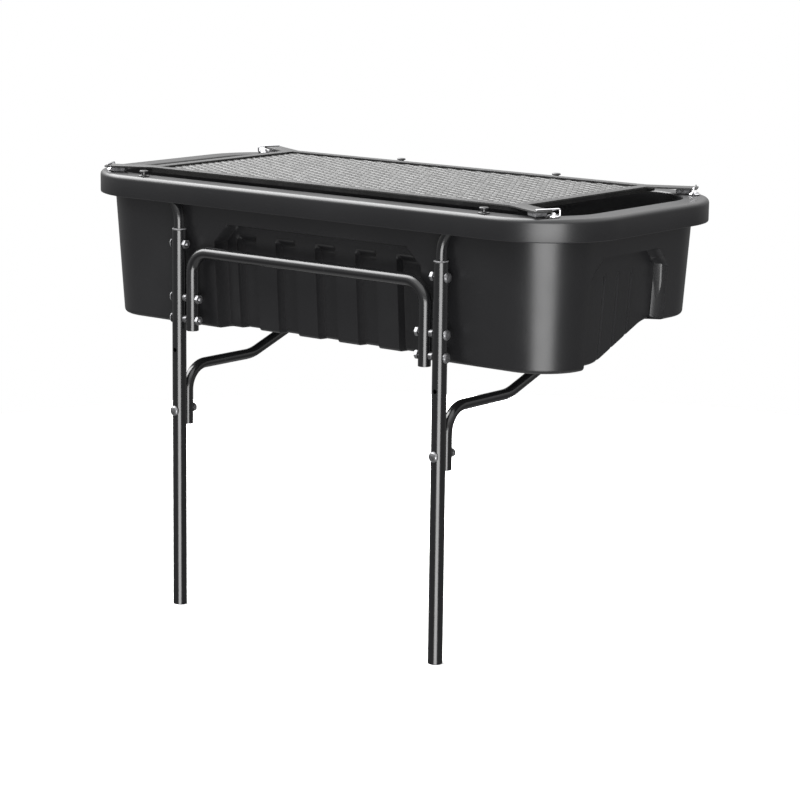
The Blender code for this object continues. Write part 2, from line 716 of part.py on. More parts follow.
def make_clip(hand):
    """A wire eye about Z, a tangent tail, an upright and a finger; hand -1 is its mirror."""
    eye_height = RIM_TOP + GAP + WIRE_RADIUS
    finger_height = GRATE_TOP + GAP + WIRE_RADIUS
    leave = math.asin(EYE_RADIUS / CLIP_RISER)
    start = leave - math.radians(300)
    points = []
    for i in range(EYE_STEPS + 1):
        angle = start + (leave - start) * i / EYE_STEPS
        points.append(Vector((EYE_RADIUS * math.cos(angle), EYE_RADIUS * math.sin(angle), eye_height)))
    tail = [points[-1], (0, CLIP_RISER, eye_height), (0, CLIP_RISER, finger_height),
            (0, -CLIP_REACH, finger_height)]
    points = points[:-1] + rounded_path(tail, (CLIP_BEND, CLIP_BEND), math.radians(30))
    flipped = [Vector((point.x, hand * point.y, point.z)) for point in points]
    return bent_wire(flipped, WIRE_RADIUS)


# ---------------------------------------------------------------- fasteners
def make_clip_screw():
    low = RIM_UNDER - SCREW_TIP
    washer = RIM_TOP + 2 * GAP + 2 * WIRE_RADIUS
    head = washer + SCREW_WASHER_HEIGHT
    top = head + SCREW_HEAD_HEIGHT
    return turned([(SCREW_RADIUS * 0.6, low), (SCREW_RADIUS, low + TIP_CHAMFER), (SCREW_RADIUS, washer),
                   (SCREW_WASHER, washer), (SCREW_WASHER, head), (SCREW_HEAD, head),
                   (SCREW_HEAD, top - SCREW_HEAD_HEIGHT / 2), (SCREW_HEAD * 0.6, top)], SMALL_ROUND)


def make_rim_bolt(under):
    """Cap, neck and flange above the rim, and a shank that ends below the nut."""
    seat = RIM_TOP + GAP
    low = under - GAP - RIM_NUT_HEIGHT - BOLT_TIP
    cap = seat + RIM_BOLT_SEAT_TO_CAP
    top = GRATE_TOP - RIM_BOLT_BELOW_GRATE
    edge = seat + 0.6 * RIM_BOLT_FLANGE_HEIGHT
    return turned([(RIM_BOLT_RADIUS * 0.8, low), (RIM_BOLT_RADIUS, low + TIP_CHAMFER),
                   (RIM_BOLT_RADIUS, seat), (RIM_BOLT_FLANGE, seat), (RIM_BOLT_FLANGE, edge),
                   (RIM_BOLT_FLANGE * 0.9, seat + 0.85 * RIM_BOLT_FLANGE_HEIGHT),
                   (RIM_BOLT_NECK, seat + RIM_BOLT_FLANGE_HEIGHT), (RIM_BOLT_NECK, cap),
                   (RIM_BOLT_CAP, cap + 0.1 * RIM_BOLT_CAP), (RIM_BOLT_CAP, top - 0.15 * RIM_BOLT_CAP),
                   (RIM_BOLT_CAP * 0.82, top)], ROUND)


def make_nut(radius, height, bore):
    """A hexagonal nut about Z, standing on Z = 0, with broken outer edges."""
    shape = bmesh.new()
    chamfer = 0.08 * radius
    loops = []
    for reach, level in ((bore, 0), (radius - chamfer, 0), (radius, chamfer), (radius, height - chamfer),
                         (radius - chamfer, height), (bore, height)):
        sides = [math.radians(60 * (i // 2)) + (0 if i % 2 == 0 else math.radians(30)) for i in range(12)]
        loops.append([])
        for i, angle in enumerate(sides):
            flat = math.cos(math.radians(30)) if i % 2 and reach > bore else 1.0
            spot = Vector((math.cos(angle), math.sin(angle), 0)) * reach * flat
            loops[-1].append(shape.verts.new((spot.x, spot.y, level)))
    for lower, upper in zip(loops, loops[1:] + loops[:1]):
        bridge(shape, lower, upper)
    return mesh_from_bmesh("nut", shape)


def make_cross_bolt(grip):
    """A round-headed bolt along +X: head before X = 0, shank through the grip and the nut."""
    tip = grip + 2 * GAP + NUT_HEIGHT + BOLT_TIP
    profile = [(BOLT_HEAD_RADIUS * 0.55, -BOLT_HEAD_HEIGHT),
               (BOLT_HEAD_RADIUS * 0.85, -BOLT_HEAD_HEIGHT * 0.75),
               (BOLT_HEAD_RADIUS, -BOLT_HEAD_HEIGHT * 0.3), (BOLT_HEAD_RADIUS, 0), (BOLT_RADIUS, 0),
               (BOLT_RADIUS, tip - 0.001), (BOLT_RADIUS * 0.75, tip)]
    return moved(turned(profile, SMALL_ROUND), turn=(math.pi / 2, "Y"))


def cross_nut():
    nut = make_nut(NUT_RADIUS, NUT_HEIGHT, BOLT_RADIUS + HOLE_FIT)
    return moved(nut, turn=(math.pi / 2, "Y"))


def make_rivet(grip):
    """A rivet about Z: grip between its two heads, the lower head under Z = 0."""
    edge = RIVET_HEAD * 0.6
    return turned([(edge, -RIVET_HEAD_HEIGHT), (RIVET_HEAD, -RIVET_HEAD_HEIGHT * 0.4), (RIVET_HEAD, 0),
                   (RIVET_RADIUS, 0), (RIVET_RADIUS, grip), (RIVET_HEAD, grip),
                   (RIVET_HEAD, grip + RIVET_HEAD_HEIGHT * 0.4),
                   (edge, grip + RIVET_HEAD_HEIGHT)], SMALL_ROUND)


def make_spacer():
    bore = BOLT_RADIUS + HOLE_FIT
    loop = [(bore, 0), (SPACER_RADIUS, 0), (SPACER_RADIUS, SPACER_LENGTH), (bore, SPACER_LENGTH)]
    return moved(turned_ring(loop, SMALL_ROUND), turn=(math.pi / 2, "Y"))


# ---------------------------------------------------------------- tubes
def drilled(mesh, drills):
    for drill in drills:
        mesh = combined(mesh, drill, "DIFFERENCE")
    return mesh


def make_leg():
    """Leg tube about the Z axis, drilled for its bolts, with a spare hole in front."""
    tube = bent_tube([Vector((0, 0, 0)), Vector((0, 0, LEG_TOP))], LEG_OD / 2, LEG_OD / 2 - LEG_WALL)
    through = 2 * LEG_OD
    heights = [CLAMP_HEIGHT] + [LEG_TOP - drop for drop in BAR_BOLT_DROPS]
    drills = [hole(BOLT_RADIUS + HOLE_FIT, through, (0, 0, height), "X") for height in heights]
    drills.append(hole(BOLT_RADIUS + HOLE_FIT, through, (0, 0, BRACE_BOLT_HEIGHT), "Y"))
    drills.append(hole(SPARE_HOLE_RADIUS, LEG_OD / 2, (0, -LEG_OD / 2, SPARE_HOLE_HEIGHT), "Y"))
    return drilled(tube, drills)


def make_hanger():
    """Tube that stands in the leg and bends outwards, along +X, under the rim."""
    low = LEG_TOP - HANGER_INSERT
    corners = [(0, 0, low), (0, 0, HANGER_HEIGHT), (HANGER_REACH + HANGER_TAIL, 0, HANGER_HEIGHT)]
    tube = bent_tube(rounded_path(corners, (HANGER_BEND,)), HANGER_OD / 2, HANGER_OD / 2 - HANGER_WALL)
    clamp = hole(BOLT_RADIUS + HOLE_FIT, 2 * HANGER_OD, (0, 0, CLAMP_HEIGHT), "X")
    rim = hole(RIM_BOLT_RADIUS + HOLE_FIT, 2 * HANGER_OD, (HANGER_REACH, 0, HANGER_HEIGHT), "Z")
    return drilled(tube, (clamp, rim))


def make_collar():
    """Bush in the top of the leg, round the hanger tube, with a flange on the leg's end."""
    bore = HANGER_OD / 2 + TUBE_FIT
    sleeve = LEG_OD / 2 - LEG_WALL - TUBE_FIT
    seat = LEG_TOP + GAP
    return turned_ring([(bore, seat - COLLAR_LENGTH), (sleeve, seat - COLLAR_LENGTH), (sleeve, seat),
                        (LEG_OD / 2, seat), (LEG_OD / 2, seat + COLLAR_FLANGE),
                        (bore, seat + COLLAR_FLANGE)], ROUND)


def make_cross_bar():
    """One tube bent to an upside-down U between the legs."""
    foot, top = LEG_TOP - BAR_FOOT_DROP, LEG_TOP - BAR_TOP_DROP
    corners = [(-BAR_X, 0, foot), (-BAR_X, 0, top), (BAR_X, 0, top), (BAR_X, 0, foot)]
    tube = bent_tube(rounded_path(corners, (BAR_BEND, BAR_BEND)), BAR_OD / 2, BAR_OD / 2 - BAR_WALL)
    drills = []
    for drop in BAR_BOLT_DROPS:
        for sign in (-1, 1):
            drills.append(hole(BOLT_RADIUS + HOLE_FIT, 2 * BAR_OD, (sign * BAR_X, 0, LEG_TOP - drop), "X"))
    return drilled(tube, drills)


def make_brace():
    """Tube that stands behind the leg, runs back, rises and stands up to its bracket."""
    rise_end = BRACE_RUN_HEIGHT + (BRACE_TOP_Y - BRACE_RUN_END) * BRACE_RISE
    corners = [(0, BRACE_Y, BRACE_FOOT), (0, BRACE_Y, BRACE_RUN_HEIGHT), (0, BRACE_RUN_END, BRACE_RUN_HEIGHT),
               (0, BRACE_TOP_Y, rise_end), (0, BRACE_TOP_Y, BRACE_TOP)]
    path = rounded_path(corners, (BRACE_BEND, 2 * BRACE_BEND, BRACE_BEND))
    tube = bent_tube(path, BRACE_OD / 2, BRACE_OD / 2 - BRACE_WALL)
    bolt = hole(BOLT_RADIUS + HOLE_FIT, 2 * BRACE_OD, (0, BRACE_Y, BRACE_BOLT_HEIGHT), "Y")
    pin = hole(RIVET_RADIUS + HOLE_FIT, 2 * BRACE_OD, (0, BRACE_TOP_Y, SPIGOT_PIN_HEIGHT), "X", 12)
    return drilled(tube, (bolt, pin))


def make_bracket():
    """Plate under the shelf with a round spigot that the brace slides over."""
    half_x, half_y = BRACKET_LENGTH / 2, BRACKET_WIDTH / 2
    low = BRACE_TOP + GAP
    plate = prism([(-half_x, -half_y), (half_x, -half_y), (half_x, half_y), (-half_x, half_y)],
                  low, low + BRACKET_PLATE)
    radius = BRACE_OD / 2 - BRACE_WALL - TUBE_FIT
    spigot = turned([(radius, BRACE_TOP - SPIGOT_LENGTH), (radius, low + BRACKET_PLATE / 2)], ROUND)
    bracket = combined(plate, spigot, "UNION")
    drills = [hole(RIVET_RADIUS + HOLE_FIT, 4 * radius, (0, 0, SPIGOT_PIN_HEIGHT), "X", 12)]
    for sign in (-1, 1):
        spot = (sign * RIVET_PITCH / 2, 0, low)
        drills.append(hole(RIVET_RADIUS + HOLE_FIT, 4 * BRACKET_PLATE, spot, "Z", 12))
    return drilled(bracket, drills)


# ---------------------------------------------------------------- assembly
FINISHES = {
    "black_plastic": ((0.018, 0.018, 0.020), 0.42, 0.0),
    "black_paint": ((0.014, 0.014, 0.016), 0.28, 0.0),
    "grate_steel": ((0.10, 0.10, 0.10), 0.50, 0.7),
    "grey_block": ((0.16, 0.16, 0.16), 0.55, 0.2),
    "chrome": ((0.80, 0.80, 0.82), 0.12, 1.0),
    "dark_zinc": ((0.20, 0.20, 0.21), 0.35, 0.9),
    "grey_plastic": ((0.22, 0.22, 0.22), 0.5, 0.0),
}


def build_grate(root):
    place("grate_frame", make_grate_frame(), "grate_steel", parent=root)
    place("grate_mesh", make_grate_sheet(), "grate_steel", parent=root)
    foot = make_arm_foot()
    clips = {1: make_clip(1), -1: make_clip(-1)}
    screw = make_clip_screw()
    for corner, x_sign, y_sign in CORNERS:
        end, out, _ = arm_frame(x_sign, y_sign)
        turn = corner_turn(x_sign, y_sign)
        under = end - out * FOOT_SETBACK
        axis = (*clip_axis(x_sign, y_sign), 0)
        hand = -x_sign * y_sign
        place("arm_foot_" + corner, foot, "grey_block", (under.x, under.y, 0), turn, root)
        place("clip_" + corner, clips[hand], "chrome", axis, turn, root)
        place("clip_screw_" + corner, screw, "chrome", axis, 0, root)


def build_rim_bolts(root):
    unders = {"near": HANGER_HEIGHT - HANGER_OD / 2, "far": RIM_UNDER}
    nut = make_nut(RIM_NUT_RADIUS, RIM_NUT_HEIGHT, RIM_BOLT_RADIUS + HOLE_FIT)
    bolts = {row: make_rim_bolt(under) for row, under in unders.items()}
    for name, (x, y) in rim_bolt_places().items():
        row = name.split("_")[0]
        place("rim_bolt_" + name, bolts[row], "black_paint", (x, y, 0), 0, root)
        place("rim_nut_" + name, nut, "dark_zinc", (x, y, unders[row] - GAP - RIM_NUT_HEIGHT), 0, root)


def build_stand(root):
    """Legs, hangers, collars, cross bar, braces, brackets and their fasteners."""
    leg, hanger, collar = make_leg(), make_hanger(), make_collar()
    brace, bracket = make_brace(), make_bracket()
    spacer, nut = make_spacer(), cross_nut()
    clamp_bolt = make_cross_bolt(LEG_OD)
    bar_bolt = make_cross_bolt(LEG_OD + SPACER_LENGTH + 2 * GAP + BAR_OD)
    brace_bolt = make_cross_bolt(LEG_OD + GAP + BRACE_OD)
    pin = moved(make_rivet(BRACE_OD + 2 * GAP), turn=(math.pi / 2, "Y"))
    rivet = make_rivet(TUB_WALL + BRACKET_PLATE + 3 * GAP)
    place("cross_bar", make_cross_bar(), "black_paint", parent=root)
    for side, sign in SIDES:
        x = sign * LEG_X
        inwards = math.pi if sign > 0 else 0.0
        place("leg_" + side, leg, "black_paint", (x, 0, 0), 0, root)
        place("hanger_tube_" + side, hanger, "black_paint", (x, 0, 0), math.pi - inwards, root)
        place("leg_collar_" + side, collar, "grey_plastic", (x, 0, 0), 0, root)
        place("brace_" + side, brace, "black_paint", (x, 0, 0), 0, root)
        place("brace_bracket_" + side, bracket, "black_paint", (x, BRACE_TOP_Y, 0), 0, root)
        outer = x + sign * (LEG_OD / 2 + GAP)
        inner = x - sign * (LEG_OD / 2 + GAP)
        place("clamp_bolt_" + side, clamp_bolt, "dark_zinc", (outer, 0, CLAMP_HEIGHT), inwards, root)
        place("clamp_nut_" + side, nut, "dark_zinc", (inner, 0, CLAMP_HEIGHT), inwards, root)
        bar_face = sign * (BAR_X - BAR_OD / 2 - GAP)
        for level, drop in zip(("upper", "lower"), BAR_BOLT_DROPS):
            tag = side + "_" + level
            height = LEG_TOP - drop
            place("bar_bolt_" + tag, bar_bolt, "dark_zinc", (outer, 0, height), inwards, root)
            place("bar_spacer_" + tag, spacer, "dark_zinc", (inner, 0, height), inwards, root)
            place("bar_nut_" + tag, nut, "dark_zinc", (bar_face, 0, height), inwards, root)
        front = -LEG_OD / 2 - GAP
        back = BRACE_Y + BRACE_OD / 2 + GAP
        place("brace_bolt_" + side, brace_bolt, "dark_zinc", (x, front, BRACE_BOLT_HEIGHT), math.pi / 2, root)
        place("brace_nut_" + side, nut, "dark_zinc", (x, back, BRACE_BOLT_HEIGHT), math.pi / 2, root)
        pin_start = (x - BRACE_OD / 2 - GAP, BRACE_TOP_Y, SPIGOT_PIN_HEIGHT)
        place("bracket_pin_" + side, pin, "dark_zinc", pin_start, 0, root)
    for name, (x, y) in rivet_places().items():
        place("bracket_rivet_" + name, rivet, "dark_zinc", (x, y, BRACE_TOP), 0, root)


def main():
    clear_scene()
    root = bpy.data.objects.new("shelf_origin", None)
    bpy.context.scene.collection.objects.link(root)
    root.location = (0, -SHELF_MOUNT_Y, -SHELF_HEIGHT)
    place("tub", make_tub(), "black_plastic", parent=root)
    build_grate(root)
    build_rim_bolts(root)
    build_stand(root)
    bpy.context.view_layer.update()


main()
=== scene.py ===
"""Finished surfaces and materials of a long outdoor grill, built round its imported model."""

import json
import math

import bmesh
import bpy
import numpy as np
from mathutils import Matrix, Vector


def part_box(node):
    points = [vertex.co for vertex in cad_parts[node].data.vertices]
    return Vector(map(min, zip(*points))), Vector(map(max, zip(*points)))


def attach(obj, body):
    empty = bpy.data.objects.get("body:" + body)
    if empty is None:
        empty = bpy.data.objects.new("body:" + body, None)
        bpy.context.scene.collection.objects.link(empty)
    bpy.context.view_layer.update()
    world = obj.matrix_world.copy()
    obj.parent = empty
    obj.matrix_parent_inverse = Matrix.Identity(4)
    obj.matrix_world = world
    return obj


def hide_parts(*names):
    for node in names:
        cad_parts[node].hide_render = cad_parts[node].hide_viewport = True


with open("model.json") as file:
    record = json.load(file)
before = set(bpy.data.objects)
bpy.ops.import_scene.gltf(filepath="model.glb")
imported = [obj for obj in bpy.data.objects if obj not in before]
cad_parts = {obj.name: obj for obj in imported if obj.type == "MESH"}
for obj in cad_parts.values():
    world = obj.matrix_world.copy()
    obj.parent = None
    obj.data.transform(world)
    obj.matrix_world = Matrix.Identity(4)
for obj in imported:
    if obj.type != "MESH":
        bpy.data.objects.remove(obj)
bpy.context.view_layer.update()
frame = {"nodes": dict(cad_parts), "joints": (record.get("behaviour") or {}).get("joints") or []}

bl_info = {
    "name": "Tub Grill Surfaces",
    "version": (1, 0, 0),
    "blender": (4, 5, 0),
    "location": "View3D > Sidebar > Tub Grill",
    "description": "Moulded tub, bent tubes, expanded-metal grate, clips and bolts of a long outdoor grill",
    "category": "Mesh",
}

SIDES = (("left", -1), ("right", 1))
CORNERS = (("near_left", -1, -1), ("near_right", 1, -1), ("far_left", -1, 1), ("far_right", 1, 1))
TUB_LOW, TUB_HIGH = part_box("tub")
_, FRAME_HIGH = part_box("grate_frame")
SHEET_LOW, SHEET_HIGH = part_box("grate_mesh")
LEG_LOW, LEG_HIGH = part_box("leg_right")
FEET = LEG_LOW.z
SEAT_GAP = 0.0003           # left between a piece and what it lies on or slides over


# ---------------------------------------------------------------- settings
def length(name, default, description):
    """A length property in metres."""
    return bpy.props.FloatProperty(name=name, default=default, description=description, min=0.0,
                                   precision=4, unit="LENGTH")


def colour(name, default, description):
    """A linear colour property."""
    return bpy.props.FloatVectorProperty(name=name, default=default, description=description, size=3,
                                         min=0.0, max=1.0, subtype="COLOR")


def share(name, default, description):
    """A number from 0 to 1."""
    return bpy.props.FloatProperty(name=name, default=default, description=description, min=0.0, max=1.0,
                                   subtype="FACTOR")


class TubSettings(bpy.types.PropertyGroup):
    overhang: length("Rim overhang", 0.0292, "Rim's long faces beyond the top of the wall")
    end_overhang: length("Rim overhang at the ends", 0.0344, "Rim's end faces beyond the top of the wall")
    ledge: length("Ledge width", 0.0453, "Rim's outer face to the opening")
    rim_corner: length("Rim corner", 0.150, "Radius of the rim's outer corners")
    opening_corner: length("Opening corner", 0.105, "Radius of the opening's corners")
    foot_corner: length("Foot corner", 0.085, "Radius of the wall's corners at the foot")
    shoulder: length("Shoulder", 0.008, "Rounding between the rim's top and its skirt")
    plate: length("Rim plate", 0.005, "Thickness of the rim's flat top")
    skirt: length("Skirt height", 0.0394, "Height of the turned-down skirt")
    wall: length("Wall", 0.005, "Thickness of the wall and floor")
    foot_edge: length("Foot edge", 0.007, "Rounding round the underside")
    shelf_rise: length("Shelf rise", 0.059, "Height of the shallow underside over the deep one")
    slope_start: length("Slope start", 0.160, "Near wall's foot to the slope of the underside")
    slope_length: length("Slope length", 0.137, "Width of the sloping part of the underside")
    slope_blend: length("Slope blend", 0.018, "Half the width of the bend at each end of the slope")
    draft: bpy.props.FloatProperty(name="Draft", default=math.radians(4.0), unit="ROTATION",
                                   description="Lean of the walls from upright")
    recess_depth: length("Near recess depth", 0.028, "Depth of the recess in the near wall")
    recess_width: length("Near recess width", 0.468, "Width of the recess in the near wall")
    recess_middle: bpy.props.FloatProperty(name="Near recess middle", default=0.007, unit="LENGTH",
                                           description="Middle of the near recess along the tub")
    recess_drop: length("Near recess top", 0.072, "Rim's top to the top of the near recess")
    recess_chamfer: length("Recess chamfer", 0.033, "Cut at the top corners of the recesses")
    groove_pitch: length("Groove pitch", 0.091, "Distance between the near grooves")
    groove_width: length("Groove width", 0.042, "Width of a near groove")
    groove_depth: length("Groove depth", 0.015, "Depth of a near groove")
    groove_count: bpy.props.IntProperty(name="Grooves", default=5, description="Number of near grooves")
    end_depth: length("End recess depth", 0.024, "Depth of the recesses in the end walls")
    end_width: length("End recess width", 0.232, "Width of the recesses in the end walls")
    end_middle: bpy.props.FloatProperty(name="End recess middle", default=-0.0145, unit="LENGTH",
                                        description="Middle of an end recess, from the tub's middle")
    end_drop: length("End recess top", 0.076, "Rim's top to the top of an end recess")
    end_pitch: length("End groove pitch", 0.040, "Distance between the thin end grooves")
    edge: length("Recess edge", 0.0045, "Run of the rounded side wall of a recess")


class GrateSettings(bpy.types.PropertyGroup):
    diamond_length: length("Diamond length", 0.033, "Length of one opening along the grate")
    diamond_width: length("Diamond width", 0.018, "Width of one opening across the grate")
    strand: length("Strand width", 0.0030, "Width of one strand")
    strand_thickness: length("Strand thickness", 0.0017, "Thickness of one strand")
    strand_tilt: length("Strand tilt", 0.0011, "Rise of a strand's raised edge")
    edge: length("Frame edge", 0.0006, "Rounding of the frame's edges")
    bead: length("Weld bead", 0.0016, "Radius of the weld beads")


class TubeSettings(bpy.types.PropertyGroup):
    wall: length("Tube wall", 0.0015, "Wall of every tube")
    lip: length("Tube lip", 0.0004, "Rounding of the tubes' cut ends")
    hanger_bend: length("Hanger bend", 0.060, "Bend radius of the hanger tubes")
    bar_bend: length("Bar bend", 0.038, "Bend radius of the cross bar")
    brace_bend: length("Brace bend", 0.045, "Bend radius of the braces")
    brace_run: length("Brace run height", 0.4418, "Height of a brace's level run above the feet")
    brace_run_end: length("Brace run end", 0.197, "Leg's axis to the end of the level run")
    spare_hole: length("Spare hole height", 0.475, "Height of the spare hole in the front of a leg")
    brace_rise: bpy.props.FloatProperty(name="Brace rise", default=math.radians(19.0), unit="ROTATION",
                                        description="Slope of the rising part of a brace")
    sides: bpy.props.IntProperty(name="Sides", default=48, min=8, description="Sides of a tube")


class FinishSettings(bpy.types.PropertyGroup):
    plastic: colour("Moulded plastic", (0.0075, 0.0075, 0.0082), "Black of the moulded tub")
    plastic_roughness: share("Plastic roughness", 0.34, "Roughness of the moulded tub")
    paint: colour("Tube paint", (0.0060, 0.0060, 0.0065), "Black of the painted tubes")
    paint_roughness: share("Paint roughness", 0.16, "Roughness of the painted tubes")
    grate: colour("Grate steel", (0.022, 0.022, 0.021), "Black of the strands")
    strip: colour("Grate strips", (0.014, 0.014, 0.014), "Black of the frame and its arms")
    chrome: colour("Chrome", (0.78, 0.78, 0.80), "Bright plating of the clips")
    zinc: colour("Zinc", (0.17, 0.17, 0.175), "Dark plating of the bolts and nuts")
    block: colour("Foot blocks", (0.13, 0.13, 0.135), "Grey of the blocks under the arms")
    collar: colour("Collars", (0.16, 0.16, 0.165), "Grey of the collars on the legs")
    floor: colour("Floor", (0.92, 0.92, 0.92), "Plain pale floor")


class GrillSettings(bpy.types.PropertyGroup):
    tub: bpy.props.PointerProperty(type=TubSettings, name="Tub", description="Sizes of the moulded tub")
    grate: bpy.props.PointerProperty(type=GrateSettings, name="Grate", description="Sizes of the grate")
    tube: bpy.props.PointerProperty(type=TubeSettings, name="Tubes", description="Sizes of the tubes")
    finish: bpy.props.PointerProperty(type=FinishSettings, name="Finishes", description="Colours")


def settings():
    return bpy.context.scene.grill


# ---------------------------------------------------------------- meshes from arrays
def grid_faces(rows, columns, wrap_rows=False, wrap_columns=True):
    """Quads of a grid of points counted row by row, with either direction closed on itself."""
    row = np.arange(rows if wrap_rows else rows - 1)
    column = np.arange(columns if wrap_columns else columns - 1)
    r, c = np.meshgrid(row, column, indexing="ij")
    next_r, next_c = (r + 1) % rows, (c + 1) % columns
    quads = [r * columns + c, r * columns + next_c, next_r * columns + next_c, next_r * columns + c]
    return np.stack(quads, axis=-1).reshape(-1, 4)


def mesh_of(name, points, faces, caps=()):
    """A mesh of points and quads, with extra polygons as caps."""
    mesh = bpy.data.meshes.new(name)
    polygons = faces.tolist() + [list(cap) for cap in caps]
    mesh.from_pydata(points.reshape(-1, 3).tolist(), [], polygons)
    return mesh


def tidy(mesh, sharp):
    """Merges doubles, turns the faces outwards and shades smooth but for edges over an angle."""
    shape = bmesh.new()
    shape.from_mesh(mesh)
    bmesh.ops.remove_doubles(shape, verts=shape.verts, dist=1e-6)
    bmesh.ops.dissolve_degenerate(shape, dist=1e-6, edges=shape.edges)
    bmesh.ops.recalc_face_normals(shape, faces=shape.faces)
    shape.to_mesh(mesh)
    shape.free()
    mesh.shade_smooth()
    mesh.set_sharp_from_angle(angle=math.radians(sharp))
    return mesh


def piece_of(name, mesh, material, nodes, body="root", sharp=40):
    """Puts a finished mesh in the scene: its body and the CAD nodes it stands for."""
    piece = bpy.data.objects.new(name, tidy(mesh, sharp))
    bpy.context.scene.collection.objects.link(piece)
    piece.data.materials.clear()
    piece.data.materials.append(material)
    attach(piece, body)
    if nodes:
        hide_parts(*nodes)
    return piece


def placed(mesh, matrix):
    """A copy of a mesh with a placement applied to its points."""
    copy = mesh.copy()
    copy.transform(matrix)
    return copy


def rounded_path(corners, bends, step=math.radians(5)):
    """Straight runs through corner points; each inner corner is an arc of its bend's radius."""
    corners = [np.array(corner, float) for corner in corners]
    points = [corners[0][None]]
    for before, corner, after, radius in zip(corners, corners[1:], corners[2:], bends):
        back = (before - corner) / np.linalg.norm(before - corner)
        ahead = (after - corner) / np.linalg.norm(after - corner)
        half = math.acos(np.clip(back @ ahead, -1, 1)) / 2
        toward = (back + ahead) / np.linalg.norm(back + ahead)
        middle = corner + toward * radius / math.sin(half)
        start = corner + back * radius / math.tan(half) - middle
        end = corner + ahead * radius / math.tan(half) - middle
        sweep = math.pi - 2 * half
        turn = np.linspace(0, sweep, max(3, math.ceil(sweep / step) + 1))[:, None]
        points.append(middle + (start * np.sin(sweep - turn) + end * np.sin(turn)) / math.sin(sweep))
    points.append(corners[-1][None])
    return np.concatenate(points)


def path_frames(path):
    """Side and up vectors at each point of a path, carried along it without twist."""
    ahead = np.gradient(path, axis=0)
    steps = np.diff(path, axis=0)
    steps /= np.linalg.norm(steps, axis=1, keepdims=True)
    ahead[1:-1] = steps[:-1] + steps[1:]
    ahead[0], ahead[-1] = steps[0], steps[-1]
    ahead /= np.linalg.norm(ahead, axis=1, keepdims=True)
    axis = np.eye(3)[np.argmin(np.abs(ahead[0]))]
    side = np.cross(ahead[0], axis)
    sides = []
    for tangent in ahead:
        side = side - tangent * (side @ tangent)
        side = side / np.linalg.norm(side)
        sides.append(side)
    sides = np.array(sides)
    return sides, np.cross(ahead, sides)


def ring_points(path, radii, sides):
    """Circles square to a path, one at each of its points, of the given radii."""
    side, up = path_frames(path)
    angle = np.linspace(0, 2 * math.pi, sides, endpoint=False)
    circle = side[:, None] * np.cos(angle)[None, :, None] + up[:, None] * np.sin(angle)[None, :, None]
    return path[:, None] + circle * np.asarray(radii, float)[:, None, None]


def with_lips(path, lip):
    """The path with a point added a lip's length inside each end."""
    first = path[0] + (path[1] - path[0]) / np.linalg.norm(path[1] - path[0]) * lip
    last = path[-1] + (path[-2] - path[-1]) / np.linalg.norm(path[-2] - path[-1]) * lip
    return np.concatenate([path[:1], first[None], path[1:-1], last[None], path[-1:]])


def tube_mesh(path, outer, sides, wall, lip):
    """A round tube along a path: out along its outer skin and back along its bore, lips rounded."""
    path = with_lips(path, lip)
    skin = np.full(len(path), outer)
    bore = np.full(len(path), outer - wall)
    skin[[0, -1]] -= lip
    bore[[0, -1]] += lip
    points = np.concatenate([ring_points(path, skin, sides), ring_points(path, bore, sides)[::-1]])
    return mesh_of("tube", points, grid_faces(len(points), sides, wrap_rows=True))


def wire_mesh(path, radius, sides):
    """A solid round wire along a path, with half-round ends."""
    turn = np.linspace(math.radians(80), 0, 5)
    start = (path[1] - path[0]) / np.linalg.norm(path[1] - path[0])
    end = (path[-2] - path[-1]) / np.linalg.norm(path[-2] - path[-1])
    inset = radius * (1 - np.sin(turn))[:, None]
    full = np.concatenate([path[0] + start * inset, path[1:-1], (path[-1] + end * inset)[::-1]])
    radii = np.full(len(full), radius)
    radii[:5] = radius * np.cos(turn)
    radii[-5:] = radii[:5][::-1]
    rings = ring_points(full, radii, sides)
    last = (len(full) - 1) * sides
    caps = [range(sides), range(last, last + sides)]
    return mesh_of("wire", rings, grid_faces(len(full), sides, wrap_columns=True), caps)


def turned_mesh(profile, sides, closed=False):
    """A profile of (radius, height) points turned about Z; open profiles are capped at both ends."""
    profile = np.asarray(profile, float)
    angle = np.linspace(0, 2 * math.pi, sides, endpoint=False)
    points = np.empty((len(profile), sides, 3))
    points[..., 0] = profile[:, :1] * np.cos(angle)
    points[..., 1] = profile[:, :1] * np.sin(angle)
    points[..., 2] = profile[:, 1:]
    last = (len(profile) - 1) * sides
    caps = () if closed else [range(sides), range(last, last + sides)]
    return mesh_of("turned", points, grid_faces(len(profile), sides, wrap_rows=closed), caps)


def softened(profile, radius):
    """A turned profile with each inner corner rounded, by the radius or by what its runs allow."""
    flat = np.array([(x, y, 0.0) for x, y in profile])
    runs = np.linalg.norm(np.diff(flat, axis=0), axis=1)
    bends = []
    for before, corner, after, run, next_run in zip(flat, flat[1:], flat[2:], runs, runs[1:]):
        back, ahead = (before - corner) / run, (after - corner) / next_run
        half = math.acos(np.clip(back @ ahead, -0.9999, 0.9999)) / 2
        bends.append(min(radius, 0.45 * min(run, next_run) * math.tan(half)))
    return rounded_path(flat, bends, math.radians(22))[:, :2]


def thread_profile(radius, low, high, pitch=0.00125):
    """Zigzag of crests and roots between two heights, as a bolt's thread looks from the side."""
    turns = max(1, int((high - low) / pitch))
    heights = np.linspace(low, high, 2 * turns + 1)
    radii = np.where(np.arange(2 * turns + 1) % 2 == 0, radius * 0.88, radius)
    return list(zip(radii, heights))


